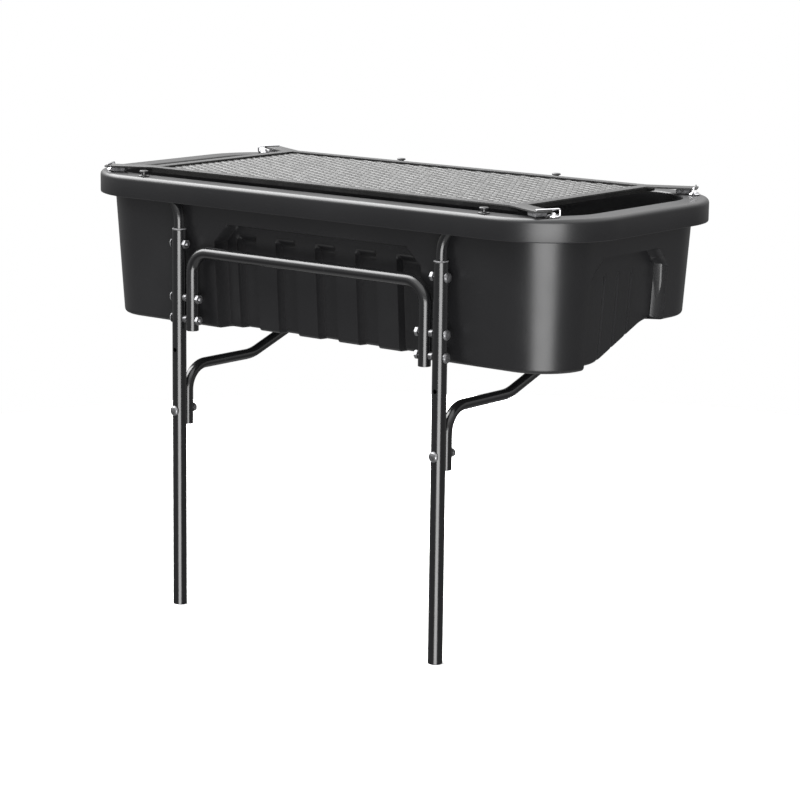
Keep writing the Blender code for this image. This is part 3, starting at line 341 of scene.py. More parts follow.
def nut_mesh(radius, height, bore, sides=72):
    """A hexagon cut by a cone at each face: every ring's reach is the lesser of the two."""
    flat = radius * math.cos(math.radians(30))
    angle = np.linspace(0, 2 * math.pi, sides, endpoint=False)
    hexagon = flat / np.cos((angle + math.radians(30)) % math.radians(60) - math.radians(30))
    cone = 0.5 * (radius - flat)
    reach = np.array([bore, bore, flat * 0.93, flat * 0.985, flat + cone, radius, radius, flat + cone,
                      flat * 0.985, flat * 0.93, bore, bore])
    level = np.array([0.0006, 0, 0, 0.0001, cone * 0.6, cone * 1.3, height - cone * 1.3, height - cone * 0.6,
                      height - 0.0001, height, height, height - 0.0006])
    reach[[0, -1]] = bore
    reach[[1, -2]] = bore + 0.0004
    rings = np.minimum(reach[:, None], hexagon[None])
    heights = np.broadcast_to(level[:, None], rings.shape)
    points = np.stack([rings * np.cos(angle), rings * np.sin(angle), heights], -1)
    return mesh_of("nut", points, grid_faces(len(level), sides, wrap_rows=True))


def refined(node, bevel, segments=2):
    """A copy of a CAD node with its doubles merged and its sharp edges rounded."""
    mesh = frame["nodes"][node].data.copy()
    shape = bmesh.new()
    shape.from_mesh(mesh)
    bmesh.ops.remove_doubles(shape, verts=shape.verts, dist=2e-5)
    edges = [edge for edge in shape.edges if edge.is_manifold and edge.calc_face_angle(0) > math.radians(30)]
    bmesh.ops.bevel(shape, geom=edges, offset=bevel, segments=segments, profile=0.5, affect="EDGES",
                    clamp_overlap=True)
    shape.to_mesh(mesh)
    shape.free()
    return mesh


# ---------------------------------------------------------------- tub
def smooth_step(value):
    value = np.clip(value, 0, 1)
    return value * value * (3 - 2 * value)


def floor_height(y):
    """Underside height: deep, then a straight slope, then the shelf; parabolas blend the knees."""
    tub = settings().tub
    near_foot = TUB_LOW.y + tub.overhang + wall_lean()
    rate = tub.shelf_rise / tub.slope_length
    past = y - near_foot - tub.slope_start
    return TUB_LOW.z + rate * (knee(past, tub.slope_blend) - knee(past - tub.slope_length, tub.slope_blend))


def knee(distance, blend):
    parabola = (distance + blend) ** 2 / (4 * blend)
    return np.where(distance <= -blend, 0, np.where(distance >= blend, distance, parabola))


def wall_lean():
    tub = settings().tub
    return math.tan(tub.draft) * (TUB_HIGH.z - tub.plate - TUB_LOW.z)


def tub_columns():
    """Where the tub's columns stand: part of the outline (0 to 7) and place along that part."""
    tub = settings().tub
    foot_half = TUB_HIGH.x - tub.end_overhang - wall_lean()
    reach = foot_half - tub.foot_corner
    fine = 0.003
    half = tub.recess_width / 2
    chamfer = np.arange(-2, 14) * fine
    marks = [tub.recess_middle + side * (half - chamfer) for side in (-1, 1)]
    for i in range(tub.groove_count):
        middle = tub.recess_middle + tub.groove_pitch * (i - (tub.groove_count - 1) / 2)
        edge = np.linspace(-0.0035, 0.0035, 5)
        marks += [middle + side * tub.groove_width / 2 + edge for side in (-1, 1)]
    marks.append(np.linspace(-reach, reach, 41))
    near = spaced(np.concatenate(marks), 0.0011) / reach

    side_low = TUB_LOW.y + tub.overhang + wall_lean() + tub.foot_corner
    side_high = TUB_HIGH.y - tub.overhang - wall_lean() - tub.foot_corner
    middle_y = (TUB_LOW.y + TUB_HIGH.y) / 2 + tub.end_middle
    marks = [middle_y + side * (tub.end_width / 2 - chamfer) for side in (-1, 1)]
    for i in (-1, 0, 1):
        marks.append(middle_y + i * tub.end_pitch + np.linspace(-0.006, 0.006, 7))
    marks.append(np.linspace(side_low, side_high, 28))
    ends = spaced(np.concatenate(marks), 0.0011)
    ends = ends[(ends >= side_low) & (ends <= side_high)]
    ends = (ends - side_low) / (side_high - side_low)

    corner = np.linspace(0, 1, 21)[1:-1]
    parts = [near, corner, ends, corner, -near, corner, 1 - ends, corner]
    kind = np.concatenate([np.full(len(part), i) for i, part in enumerate(parts)])
    return kind, np.concatenate(parts)


def spaced(values, least):
    """The values in order, without those closer than the least distance to the one before."""
    kept = []
    for value in np.sort(values):
        if not kept or value - kept[-1] >= least:
            kept.append(float(value))
    return np.array(kept)


def outline(columns, half, near, far, radius):
    """A rounded rectangle at the columns: straight parts by share, corners by angle."""
    kind, place = columns
    reach = half - radius
    points = np.zeros((len(kind), 2))
    normals = np.zeros((len(kind), 2))
    for part, (nx, ny) in {0: (0, -1), 2: (1, 0), 4: (0, 1), 6: (-1, 0)}.items():
        pick = kind == part
        normals[pick] = (nx, ny)
        if ny:
            points[pick] = np.stack([place[pick] * reach, np.full(pick.sum(), near if ny < 0 else far)], -1)
        else:
            side_y = near + radius + place[pick] * (far - near - 2 * radius)
            points[pick] = np.stack([np.full(pick.sum(), nx * half), side_y], -1)
    middles = {1: (reach, near + radius), 3: (reach, far - radius),
               5: (-reach, far - radius), 7: (-reach, near + radius)}
    for part, middle in middles.items():
        pick = kind == part
        angle = math.radians(-90) + (part - 1) * math.radians(45) + place[pick] * math.radians(90)
        normals[pick] = np.stack([np.cos(angle), np.sin(angle)], -1)
        points[pick] = np.array(middle) + radius * normals[pick]
    return points, normals


def recess_share(along, height, middle, width, top, grow=0.0):
    """0 outside a recess and 1 on its floor: distance to a rectangle with cut top corners."""
    tub = settings().tub
    beside = np.abs(along - middle) - width / 2 - grow
    above = height - top - grow
    cut = (beside + above + tub.recess_chamfer) / math.sqrt(2)
    return smooth_step(-np.maximum(np.maximum(beside, above), cut) / tub.edge)


def recess_depth(columns, spots, height, grow=0.0):
    """Depth that each column is pushed in at a height: recess floors, grooves and their ramps."""
    tub = settings().tub
    kind, _ = columns
    top = TUB_HIGH.z
    x, y = spots[:, 0][None], spots[:, 1][None]
    near = recess_share(x, height, tub.recess_middle, tub.recess_width, top - tub.recess_drop, grow)
    groove = np.zeros_like(near)
    for i in range(tub.groove_count):
        middle = tub.recess_middle + tub.groove_pitch * (i - (tub.groove_count - 1) / 2)
        sides = smooth_step((tub.groove_width / 2 + 0.0015 - np.abs(x - middle)) / 0.003)
        ramp = smooth_step((top - tub.recess_drop - 0.019 - height) / 0.017)
        groove = np.maximum(groove, sides * ramp)
    near = near * tub.recess_depth + groove * tub.groove_depth
    middle_y = (TUB_LOW.y + TUB_HIGH.y) / 2 + tub.end_middle
    end = recess_share(y, height, middle_y, tub.end_width, top - tub.end_drop, grow)
    thin = np.zeros_like(end)
    for i in (-1, 0, 1):
        sides = smooth_step((0.0045 - np.abs(y - middle_y - i * tub.end_pitch)) / 0.003)
        thin = np.maximum(thin, sides * smooth_step((top - tub.end_drop - 0.036 - height) / 0.004))
    end = end * tub.end_depth + thin * 0.003
    on_near, on_end = (kind == 0)[None], ((kind == 2) | (kind == 6))[None]
    return np.where(on_near, near, np.where(on_end, end, 0.0))


def wall_heights(columns, floor):
    """Heights of the wall's rows: sparse below and above, close together across the recess tops."""
    tub = settings().tub
    kind, place = columns
    near_top, end_top = TUB_HIGH.z - tub.recess_drop, TUB_HIGH.z - tub.end_drop
    bend = np.select([kind == 0, kind == 1, kind == 7], [0.0, place, 1 - place], 1.0)
    top = near_top + (end_top - near_top) * bend
    lower = np.linspace(0, 1, 9)[:-1, None]
    close = np.arange(14, -3, -1)[:, None] * 0.003
    upper = np.linspace(0, 1, 6)[1:, None]
    start = floor + tub.foot_edge * 1.15
    dense = top - close
    under = TUB_HIGH.z - tub.plate - 0.0015
    above = dense[-1] + (under - dense[-1]) * upper
    return np.concatenate([start + (dense[0] - start) * lower, dense, above])


def tub_surface():
    """Rows of points from the middle of the underside out, up the wall, round the rim and in again."""
    tub = settings().tub
    columns = tub_columns()
    lean, slope = wall_lean(), math.tan(tub.draft)
    foot_half = TUB_HIGH.x - tub.end_overhang - lean
    near_foot, far_foot = TUB_LOW.y + tub.overhang + lean, TUB_HIGH.y - tub.overhang - lean
    foot, normal = outline(columns, foot_half, near_foot, far_foot, tub.foot_corner)
    rim, rim_normal = outline(columns, TUB_HIGH.x, TUB_LOW.y, TUB_HIGH.y, tub.rim_corner)
    opening, opening_normal = outline(columns, TUB_HIGH.x - tub.ledge, TUB_LOW.y + tub.ledge,
                                      TUB_HIGH.y - tub.ledge, tub.opening_corner)
    floor = floor_height(foot[:, 1])

    def wall_row(height, inset):
        height = np.broadcast_to(height, (len(foot),)) if np.ndim(height) < 2 else height
        height = np.atleast_2d(height)
        push = recess_depth(columns, foot, height) + inset
        out = slope * (height - TUB_LOW.z) - push
        spots = foot[None] + normal[None] * out[..., None]
        return np.concatenate([spots, height[..., None]], -1)

    def flat_row(ring, ring_normal, inset, height):
        spots = ring - ring_normal * inset
        return np.concatenate([spots, np.full((len(ring), 1), height)], -1)[None]

    turns = np.radians(np.linspace(0, 90, 6))
    edge = tub.foot_edge
    fillet = [wall_row(floor + edge * (1 - math.cos(turn)), edge * (1 - math.sin(turn))) for turn in turns]
    outer = np.concatenate(fillet + [wall_row(wall_heights(columns, floor), 0.0)])
    underside = inward_rows(fillet[0][0], 0.0)[::-1]

    top, under, low = TUB_HIGH.z, TUB_HIGH.z - tub.plate, TUB_HIGH.z - tub.skirt
    skirt = 0.004
    rows = [flat_row(rim, rim_normal, inset, height) for inset, height in (
        (skirt + 0.0015, under), (skirt, under - 0.0015), (skirt, low + 0.001),
        (skirt - 0.0006, low + 0.0002), (skirt - 0.0015, low), (0.0015, low),
        (0.0004, low + 0.0004), (0, low + 0.0015), (0, top - tub.shoulder - 0.001))]
    for turn in np.radians(np.linspace(0, 90, 9)):
        inset, drop = tub.shoulder * (1 - math.cos(turn)), tub.shoulder * (1 - math.sin(turn))
        rows.append(flat_row(rim, rim_normal, inset, top - drop))
    rows.append(flat_row(rim, rim_normal, tub.shoulder + 0.001, top))
    rows.append(flat_row(opening, opening_normal, -0.0045, top))
    lip = 0.0035
    for turn in np.radians(np.linspace(0, 90, 6)):
        inset, drop = -lip * (1 - math.sin(turn)), lip * (1 - math.cos(turn))
        rows.append(flat_row(opening, opening_normal, inset, top - drop))

    inner_floor = floor + tub.wall
    heights = np.concatenate([wall_heights(columns, inner_floor)[::-1],
                              [inner_floor + edge * (1 - math.cos(turn)) for turn in turns[::-1]]])
    inset = np.concatenate([np.zeros(len(heights) - 6), edge * (1 - np.sin(turns[::-1]))])[:, None]
    level = (heights - TUB_LOW.z) / (top - lip - TUB_LOW.z)
    inner_foot = foot - normal * tub.wall
    spots = inner_foot[None] * (1 - level[..., None]) + opening[None] * level[..., None]
    thick = tub.wall + 0.011 * level
    bump = recess_depth(columns, foot, heights, tub.wall)
    bump = np.where(bump > 0, bump + tub.wall - thick, 0)
    spots = spots - normal[None] * (np.maximum(bump, 0) + inset)[..., None]
    inner = np.concatenate([spots, heights[..., None]], -1)
    floor_rows = inward_rows(inner[-1], tub.wall)
    return np.concatenate([underside, outer, *rows, inner, floor_rows]), columns


def inward_rows(ring, lift, count=15):
    """Rows from a ring in to the tub's middle line, each point on the floor's own height."""
    middle_y = np.full(len(ring), (TUB_LOW.y + TUB_HIGH.y) / 2)
    middle = np.stack([np.clip(ring[:, 0], -0.30, 0.30), middle_y], -1)
    step = np.linspace(0, 1, count)[1:, None, None]
    spots = ring[None, :, :2] * (1 - step) + middle[None] * step
    return np.concatenate([spots, floor_height(spots[..., 1:]) + lift], -1)


class GRILL_OT_tub(bpy.types.Operator):
    """Moulded tub: one closed surface with its rim, skirt, recesses, grooves and stepped floor"""
    bl_idname = "grill.tub"
    bl_label = "Tub"

    def execute(self, context):
        points, columns = tub_surface()
        rows, count = points.shape[:2]
        faces = grid_faces(rows, count)
        kind = columns[0][faces[:, 0] % count]
        x = points.reshape(-1, 3)[faces[:, 0], 0]
        y = points.reshape(-1, 3)[faces[:, 0], 1]
        tub = settings().tub
        middle_y = (TUB_LOW.y + TUB_HIGH.y) / 2 + tub.end_middle
        falls = (kind == 0) & (x > tub.recess_middle)
        falls |= (kind == 2) & (y > middle_y)
        falls |= (kind == 6) & (y < middle_y)
        faces[falls] = np.roll(faces[falls], 1, axis=1)
        mesh = mesh_of("tub_shell", points, faces)
        piece_of("tub_shell", mesh, moulded_plastic(), ["tub"], sharp=60)
        return {"FINISHED"}


# ---------------------------------------------------------------- tubes
def centre_x(node):
    low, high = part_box(node)
    return (low.x + high.x) / 2


def brace_path(node):
    """A brace's middle line: up behind the leg, level back, up the slope, then up to its bracket."""
    tube = settings().tube
    low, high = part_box(node)
    radius = (high.x - low.x) / 2
    x = centre_x(node)
    leg_y = (LEG_LOW.y + LEG_HIGH.y) / 2
    near, far = low.y + radius, high.y - radius
    run, run_end = FEET + tube.brace_run, leg_y + tube.brace_run_end
    rise_end = run + (far - run_end) * math.tan(tube.brace_rise)
    corners = [(x, near, low.z), (x, near, run), (x, run_end, run), (x, far, rise_end), (x, far, high.z)]
    return rounded_path(corners, (tube.brace_bend, 2 * tube.brace_bend, tube.brace_bend)), radius


class GRILL_OT_tubes(bpy.types.Operator):
    """Legs, hanger tubes, cross bar and braces: round sections carried along their bent paths"""
    bl_idname = "grill.tubes"
    bl_label = "Tubes"

    def execute(self, context):
        tube = settings().tube
        paint = painted_tube()
        leg_y = (LEG_LOW.y + LEG_HIGH.y) / 2
        for side, sign in SIDES:
            low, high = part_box("leg_" + side)
            x, radius = centre_x("leg_" + side), (high.x - low.x) / 2
            heights = np.linspace(low.z, high.z, 24)
            path = np.stack([np.full(24, x), np.full(24, leg_y), heights], -1)
            mesh = tube_mesh(path, radius, tube.sides, tube.wall, tube.lip)
            leg = piece_of("leg_tube_" + side, mesh, paint, ["leg_" + side])
            drill_spare_hole(leg, x, low.y)

            low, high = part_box("hanger_tube_" + side)
            hanger = (high.y - low.y) / 2
            outer = high.x if sign > 0 else low.x
            corners = [(x, leg_y, low.z), (x, leg_y, high.z - hanger), (outer, leg_y, high.z - hanger)]
            path = rounded_path(corners, (tube.hanger_bend,))
            mesh = tube_mesh(path, hanger, tube.sides, tube.wall, tube.lip)
            piece_of("hanger_" + side, mesh, paint, ["hanger_tube_" + side])

            path, radius = brace_path("brace_" + side)
            mesh = tube_mesh(path, radius, tube.sides, tube.wall, tube.lip)
            piece_of("brace_tube_" + side, mesh, paint, ["brace_" + side])
        low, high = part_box("cross_bar")
        radius = (high.y - low.y) / 2
        reach, top = high.x - radius, high.z - radius
        corners = [(-reach, leg_y, low.z), (-reach, leg_y, top), (reach, leg_y, top), (reach, leg_y, low.z)]
        path = rounded_path(corners, (tube.bar_bend, tube.bar_bend))
        mesh = tube_mesh(path, radius, tube.sides, tube.wall, tube.lip)
        piece_of("cross_tube", mesh, paint, ["cross_bar"])
        return {"FINISHED"}


def drill_spare_hole(leg, x, front):
    """Cuts the spare hole through the front of a leg."""
    radius, reach = 0.004, 0.01
    cutter_mesh = turned_mesh([(radius, -reach), (radius, reach)], 24)
    place = Matrix.Translation((x, front, FEET + settings().tube.spare_hole))
    turn = place @ Matrix.Rotation(math.pi / 2, 4, "X")
    cutter = bpy.data.objects.new("spare_hole", placed(cutter_mesh, turn))
    tidy(cutter.data, 40)
    bpy.context.scene.collection.objects.link(cutter)
    cut = leg.modifiers.new("spare_hole", "BOOLEAN")
    cut.solver = "EXACT"
    cut.object = cutter
    bpy.context.view_layer.update()
    graph = bpy.context.evaluated_depsgraph_get()
    result = bpy.data.meshes.new_from_object(leg.evaluated_get(graph))
    leg.modifiers.clear()
    leg.data = result
    leg.data.set_sharp_from_angle(angle=math.radians(40))
    bpy.data.objects.remove(cutter, do_unlink=True)


class GRILL_OT_collars(bpy.types.Operator):
    """Collars on the leg tops: a bush with a rounded flange, turned about the leg's axis"""
    bl_idname = "grill.collars"
    bl_label = "Collars"

    def execute(self, context):
        finish = soft_plastic()
        for side, _ in SIDES:
            low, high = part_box("leg_collar_" + side)
            hanger_low, hanger_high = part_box("hanger_tube_" + side)
            bore = (hanger_high.y - hanger_low.y) / 2 + SEAT_GAP
            outer = (high.x - low.x) / 2
            sleeve = outer - 0.0018
            seat = high.z - 0.002
            profile = [(bore, low.z), (sleeve, low.z), (sleeve, seat), (outer, seat), (outer, high.z),
                       (bore, high.z), (bore, high.z - 0.001)]
            mesh = turned_mesh(softened(profile, 0.0006), 48, closed=True)
            axis = Matrix.Translation((centre_x("leg_collar_" + side), (low.y + high.y) / 2, 0))
            piece_of("collar_" + side, placed(mesh, axis), finish, ["leg_collar_" + side])
        return {"FINISHED"}


# ---------------------------------------------------------------- grate
class GRILL_OT_sheet(bpy.types.Operator):
    """Expanded-metal sheet: tilted strands zigzag side by side and meet at the bonds"""
    bl_idname = "grill.sheet"
    bl_label = "Expanded sheet"

    def execute(self, context):
        grate = settings().grate
        width, depth = SHEET_HIGH.x - SHEET_LOW.x, SHEET_HIGH.y - SHEET_LOW.y
        periods = round(width / grate.diamond_length)
        period = width / periods
        strands = round(2 * depth / grate.diamond_width)
        pitch = depth / strands
        swing = (pitch - grate.strand) / 2 + 0.00002
        bond = 0.24 * period
        start = np.arange(2 * periods) * period / 2
        along = np.stack([start, start + bond / 2, start + period / 2 - bond / 2], -1).reshape(-1)
        sign = np.repeat(np.where(np.arange(2 * periods) % 2 == 0, 1.0, -1.0), 3)
        side = sign * np.tile([1.0, 1.0, 1.0], 2 * periods)
        side[2::3] = sign[2::3]
        along = np.append(along, width)
        offset = np.concatenate([zigzag(along[:-1], period, bond), zigzag(along[-1:], period, bond)])
        strand = np.arange(strands)[:, None]
        x = SHEET_LOW.x + np.broadcast_to(along, (strands, len(along)))
        flip = np.where(strand % 2 == 0, 1.0, -1.0)
        y = SHEET_LOW.y + (strand + 0.5) * pitch + flip * offset * swing
        half, thick, tilt = grate.strand / 2, grate.strand_thickness, grate.strand_tilt
        top = SHEET_HIGH.z - thick / 2 - tilt
        section = np.array([(-half, thick / 2 - tilt), (half, thick / 2 + tilt), (half, tilt - thick / 2),
                            (-half, -thick / 2 - tilt)])
        points = np.empty((strands, len(along), 4, 3))
        points[..., 0] = x[..., None]
        points[..., 1] = y[..., None] + section[:, 0]
        points[..., 2] = top + section[:, 1]
        one = grid_faces(len(along), 4)
        last = (len(along) - 1) * 4
        per = len(along) * 4
        faces = (one[None] + np.arange(strands)[:, None, None] * per).reshape(-1, 4)
        ends = np.array([[0, 1, 2, 3], [last, last + 1, last + 2, last + 3]])
        ends = (ends[None] + np.arange(strands)[:, None, None] * per).reshape(-1, 4)
        mesh = mesh_of("expanded_sheet", points, np.concatenate([faces, ends]))
        piece = bpy.data.objects.new("expanded_sheet", mesh)
        bpy.context.scene.collection.objects.link(piece)
        shape = bmesh.new()
        shape.from_mesh(mesh)
        bmesh.ops.recalc_face_normals(shape, faces=shape.faces)
        shape.to_mesh(mesh)
        shape.free()
        mesh.shade_flat()
        mesh.materials.append(bare_steel())
        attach(piece, "root")
        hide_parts("grate_mesh")
        return {"FINISHED"}


def zigzag(along, period, bond):
    """Trapezium wave from 1 to -1 and back: level across each bond, straight between bonds."""
    phase = (along / period) % 1.0
    flat = bond / period / 2
    falling = 1 - 2 * (phase - flat) / (0.5 - 2 * flat)
    rising = -1 + 2 * (phase - 0.5 - flat) / (0.5 - 2 * flat)
    wave = np.where(phase < 0.5, falling, rising)
    wave = np.where(phase <= flat, 1.0, wave)
    wave = np.where((phase >= 0.5 - flat) & (phase <= 0.5 + flat), -1.0, wave)
    return np.where(phase >= 1 - flat, 1.0, wave)


class GRILL_OT_frame(bpy.types.Operator):
    """Grate frame with its arms, the weld beads where they join, and the blocks under the arms"""
    bl_idname = "grill.frame"
    bl_label = "Grate frame"

    def execute(self, context):
        grate = settings().grate
        strips = refined("grate_frame", grate.edge)
        piece_of("grate_strips", strips, strip_steel(), ["grate_frame"], sharp=25)
        block = grey_block()
        for corner, _, _ in CORNERS:
            node = "arm_foot_" + corner
            piece_of("arm_block_" + corner, refined(node, 0.0006), block, [node], sharp=25)
        half = FRAME_HIGH.x - (FRAME_HIGH.x - SHEET_HIGH.x) + 0.0035
        for corner, x_sign, y_sign in CORNERS:
            edge_x = x_sign * half
            edge_y = SHEET_LOW.y - 0.0035 if y_sign < 0 else SHEET_HIGH.y + 0.0035
            start = (edge_x - x_sign * 0.014, edge_y, SHEET_HIGH.z - 0.0002)
            turn = (edge_x, edge_y, SHEET_HIGH.z - 0.0002)
            end = (edge_x, edge_y - y_sign * 0.024, SHEET_HIGH.z - 0.0002)
            path = rounded_path([start, turn, end], (0.003,), math.radians(10))
            path = resampled(path, 60)
            ripple = grate.bead * (1 + 0.12 * np.sin(np.arange(60) * 1.9))
            rings = ring_points(path, ripple, 12)
            caps = [range(12), range(59 * 12, 60 * 12)]
            mesh = mesh_of("bead", rings, grid_faces(60, 12), caps)
            piece_of("weld_bead_" + corner, mesh, strip_steel(), [], sharp=60)
        return {"FINISHED"}


def resampled(path, count):
    """The path at evenly spaced points."""
    runs = np.concatenate([[0], np.cumsum(np.linalg.norm(np.diff(path, axis=0), axis=1))])
    spots = np.linspace(0, runs[-1], count)
    return np.stack([np.interp(spots, runs, path[:, i]) for i in range(3)], -1)


# ---------------------------------------------------------------- clips
def joint_of(corner):
    for joint in frame["joints"]:
        if joint["name"] == "swivel_" + corner:
            return joint
    raise RuntimeError("no swivel for " + corner)


def clip_path(hand):
    """Middle line of a clip about its axis: most of a circle, a tangent tail, an upright, a finger."""
    eye, riser, reach, bend = 0.009, 0.0125, 0.032, 0.0032
    radius = 0.0015
    low = TUB_HIGH.z + SEAT_GAP + radius
    high = FRAME_HIGH.z + SEAT_GAP + radius
    leave = math.asin(eye / riser)
    angle = np.linspace(leave - math.radians(300), leave, 72)
    ring = np.stack([eye * np.cos(angle), eye * np.sin(angle), np.full(72, low)], -1)
    corners = [ring[-1], (0, riser, low), (0, riser, high), (0, -reach, high)]
    tail = rounded_path(corners, (bend, bend), math.radians(12))
    path = np.concatenate([ring[:-1], tail])
    path[:, 1] *= hand
    return path, radius


class GRILL_OT_clips(bpy.types.Operator):
    """Chrome hold-down clips, each a round wire about its screw, and their washer-head screws"""
    bl_idname = "grill.clips"
    bl_label = "Clips and screws"

    def execute(self, context):
        chrome = chrome_plate()
        arm = math.atan(0.5)
        for corner, x_sign, y_sign in CORNERS:
            x, y, _ = joint_of(corner)["pos_m"]
            turn = math.atan2(y_sign * math.sin(arm), x_sign * math.cos(arm))
            path, radius = clip_path(-x_sign * y_sign)
            spot = Matrix.Translation((x, y, 0)) @ Matrix.Rotation(turn, 4, "Z")
            mesh = placed(wire_mesh(path, radius, 20), spot)
            piece_of("hold_clip_" + corner, mesh, chrome, ["clip_" + corner], "clip_" + corner)
            node = "clip_screw_" + corner
            low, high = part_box(node)
            shank, rim, washer, pitch = 0.002, 0.0085, high.z - 0.0042, 0.0008
            thread = thread_profile(shank, low.z + 0.001, TUB_HIGH.z - 0.006, pitch)
            profile = [(0.0012, low.z), *thread, (shank, TUB_HIGH.z - 0.0055), (shank, washer),
                       (rim, washer), (rim, washer + 0.0012), (0.0047, washer + 0.0013),
                       (0.0045, washer + 0.0026), (0.0036, high.z - 0.0003),
                       (0.0022, high.z), (0.0021, high.z - 0.0014), (0.0004, high.z - 0.0016)]
            mesh = placed(turned_mesh(softened(profile, 0.0004), 40), Matrix.Translation((x, y, 0)))
            piece_of("screw_" + corner, mesh, chrome, [node])
        return {"FINISHED"}


# ---------------------------------------------------------------- bolts and nuts
class GRILL_OT_bolts(bpy.types.Operator):
    """Every bolt, nut, spacer, rivet and pin: turned profiles with rounded edges and cut threads"""
    bl_idname = "grill.bolts"
    bl_label = "Bolts and nuts"

    def execute(self, context):
        zinc, gloss = dark_zinc(), gloss_paint()
        for row in ("near", "far"):
            for side, _ in SIDES:
                self.rim_bolt(row + "_" + side, gloss, zinc)
        for side, sign in SIDES:
            self.cross_bolt("clamp_bolt_" + side, zinc, "X", sign)
            self.cross_nut("clamp_nut_" + side, zinc, "X", sign)
            for level in ("upper", "lower"):
                tag = side + "_" + level
                self.cross_bolt("bar_bolt_" + tag, zinc, "X", sign)
                self.cross_nut("bar_nut_" + tag, zinc, "X", sign)
                self.spacer("bar_spacer_" + tag, zinc)
            self.cross_bolt("brace_bolt_" + side, zinc, "Y", -1)
            self.cross_nut("brace_nut_" + side, zinc, "Y", -1)
            self.rivet("bracket_pin_" + side, zinc, "X")
            for end in ("inner", "outer"):
                self.rivet("bracket_rivet_" + side + "_" + end, zinc, "Z")
            node = "brace_bracket_" + side
            piece_of("bracket_" + side, refined(node, 0.0005), painted_tube(), [node], sharp=25)
        return {"FINISHED"}

    def rim_bolt(self, place, gloss, zinc):
        node = "rim_bolt_" + place
        low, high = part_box(node)
        middle = (low + high) / 2
        seat, cap = TUB_HIGH.z + SEAT_GAP, TUB_HIGH.z + 0.0071
        shank, flange, neck, knob, pitch = 0.003, 0.01025, 0.0050, 0.0080, 0.001
        thread = thread_profile(shank, low.z + 0.0008, seat - 0.009, pitch)
        profile = [(0.0020, low.z), *thread, (shank, seat - 0.008), (shank, seat), (flange, seat),
                   (flange, seat + 0.0015), (0.0092, seat + 0.0021), (neck, seat + 0.0025), (neck, cap),
                   (knob, cap + 0.0007), (knob, high.z - 0.0012), (0.0070, high.z - 0.0002),
                   (0.0030, high.z), (0.0004, high.z)]
        mesh = placed(turned_mesh(softened(profile, 0.0006), 48), Matrix.Translation((middle.x, middle.y, 0)))
        piece_of("rim_knob_" + place, mesh, gloss, [node])
        node = "rim_nut_" + place
        low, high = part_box(node)
        mesh = nut_mesh((high.x - low.x) / 2, high.z - low.z, shank + SEAT_GAP)
        mesh = placed(mesh, Matrix.Translation((middle.x, middle.y, low.z)))
        piece_of("rim_lock_nut_" + place, mesh, zinc, [node], sharp=30)

    def along(self, node, axis, sign):
        """Placement that lays a piece turned about Z along X or Y, head towards the sign's side."""
        low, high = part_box(node)
        middle = (low + high) / 2
        if axis == "X":
            start = high.x if sign > 0 else low.x
            turn = Matrix.Rotation(-sign * math.pi / 2, 4, "Y")
            return Matrix.Translation((start, middle.y, middle.z)) @ turn, high.x - low.x
        start = high.y if sign > 0 else low.y
        turn = Matrix.Rotation(sign * math.pi / 2, 4, "X")
        return Matrix.Translation((middle.x, start, middle.z)) @ turn, high.y - low.y

    def cross_bolt(self, node, zinc, axis, sign):
        """A low round head, a plain shank and a threaded tip; Z = 0 is the top of the head."""
        spot, total = self.along(node, axis, sign)
        head, height, shank = 0.0095, 0.0055, 0.004
        profile = [(0.0004, 0.0), (0.0035, 0.0002), (0.0068, 0.0011), (0.0086, 0.0026), (head, 0.0044),
                   (head, height), (shank, height), (shank, total - 0.013)]
        profile = list(map(tuple, softened(profile, 0.0006)))
        profile += thread_profile(shank, total - 0.0125, total - 0.0006) + [(0.0030, total), (0.0004, total)]
        mesh = placed(turned_mesh(profile, 40), spot)
        piece_of(node + "_part", mesh, zinc, [node])

    def cross_nut(self, node, zinc, axis, sign):
        spot, total = self.along(node, axis, sign)
        radius, bore = 0.0085, 0.0043
        mesh = placed(nut_mesh(radius, total, bore), spot)
        piece_of(node + "_part", mesh, zinc, [node], sharp=30)

    def spacer(self, node, zinc):
        spot, total = self.along(node, "X", -1)
        bore, outer = 0.0043, 0.0070
        corners = [(bore, 0), (outer, 0), (outer, total), (bore, total), (bore, total - 0.001)]
        profile = softened(corners, 0.0004)
        mesh = placed(turned_mesh(profile, 40, closed=True), spot)
        piece_of(node + "_part", mesh, zinc, [node])

    def rivet(self, node, zinc, axis):
        """A shank between two low domes."""
        low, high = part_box(node)
        middle = (low + high) / 2
        total = high.x - low.x if axis == "X" else high.z - low.z
        dome = [(0.0003, 0), (0.0022, 0.0003), (0.0042, 0.0012), (0.0050, 0.0024), (0.0050, 0.0025),
                (0.0025, 0.0025)]
        profile = dome + [(radius, total - level) for radius, level in reversed(dome)]
        if axis == "X":
            spot = Matrix.Translation((low.x, middle.y, middle.z)) @ Matrix.Rotation(math.pi / 2, 4, "Y")
        else:
            spot = Matrix.Translation((middle.x, middle.y, low.z))
        piece_of(node + "_part", placed(turned_mesh(profile, 32), spot), zinc, [node])


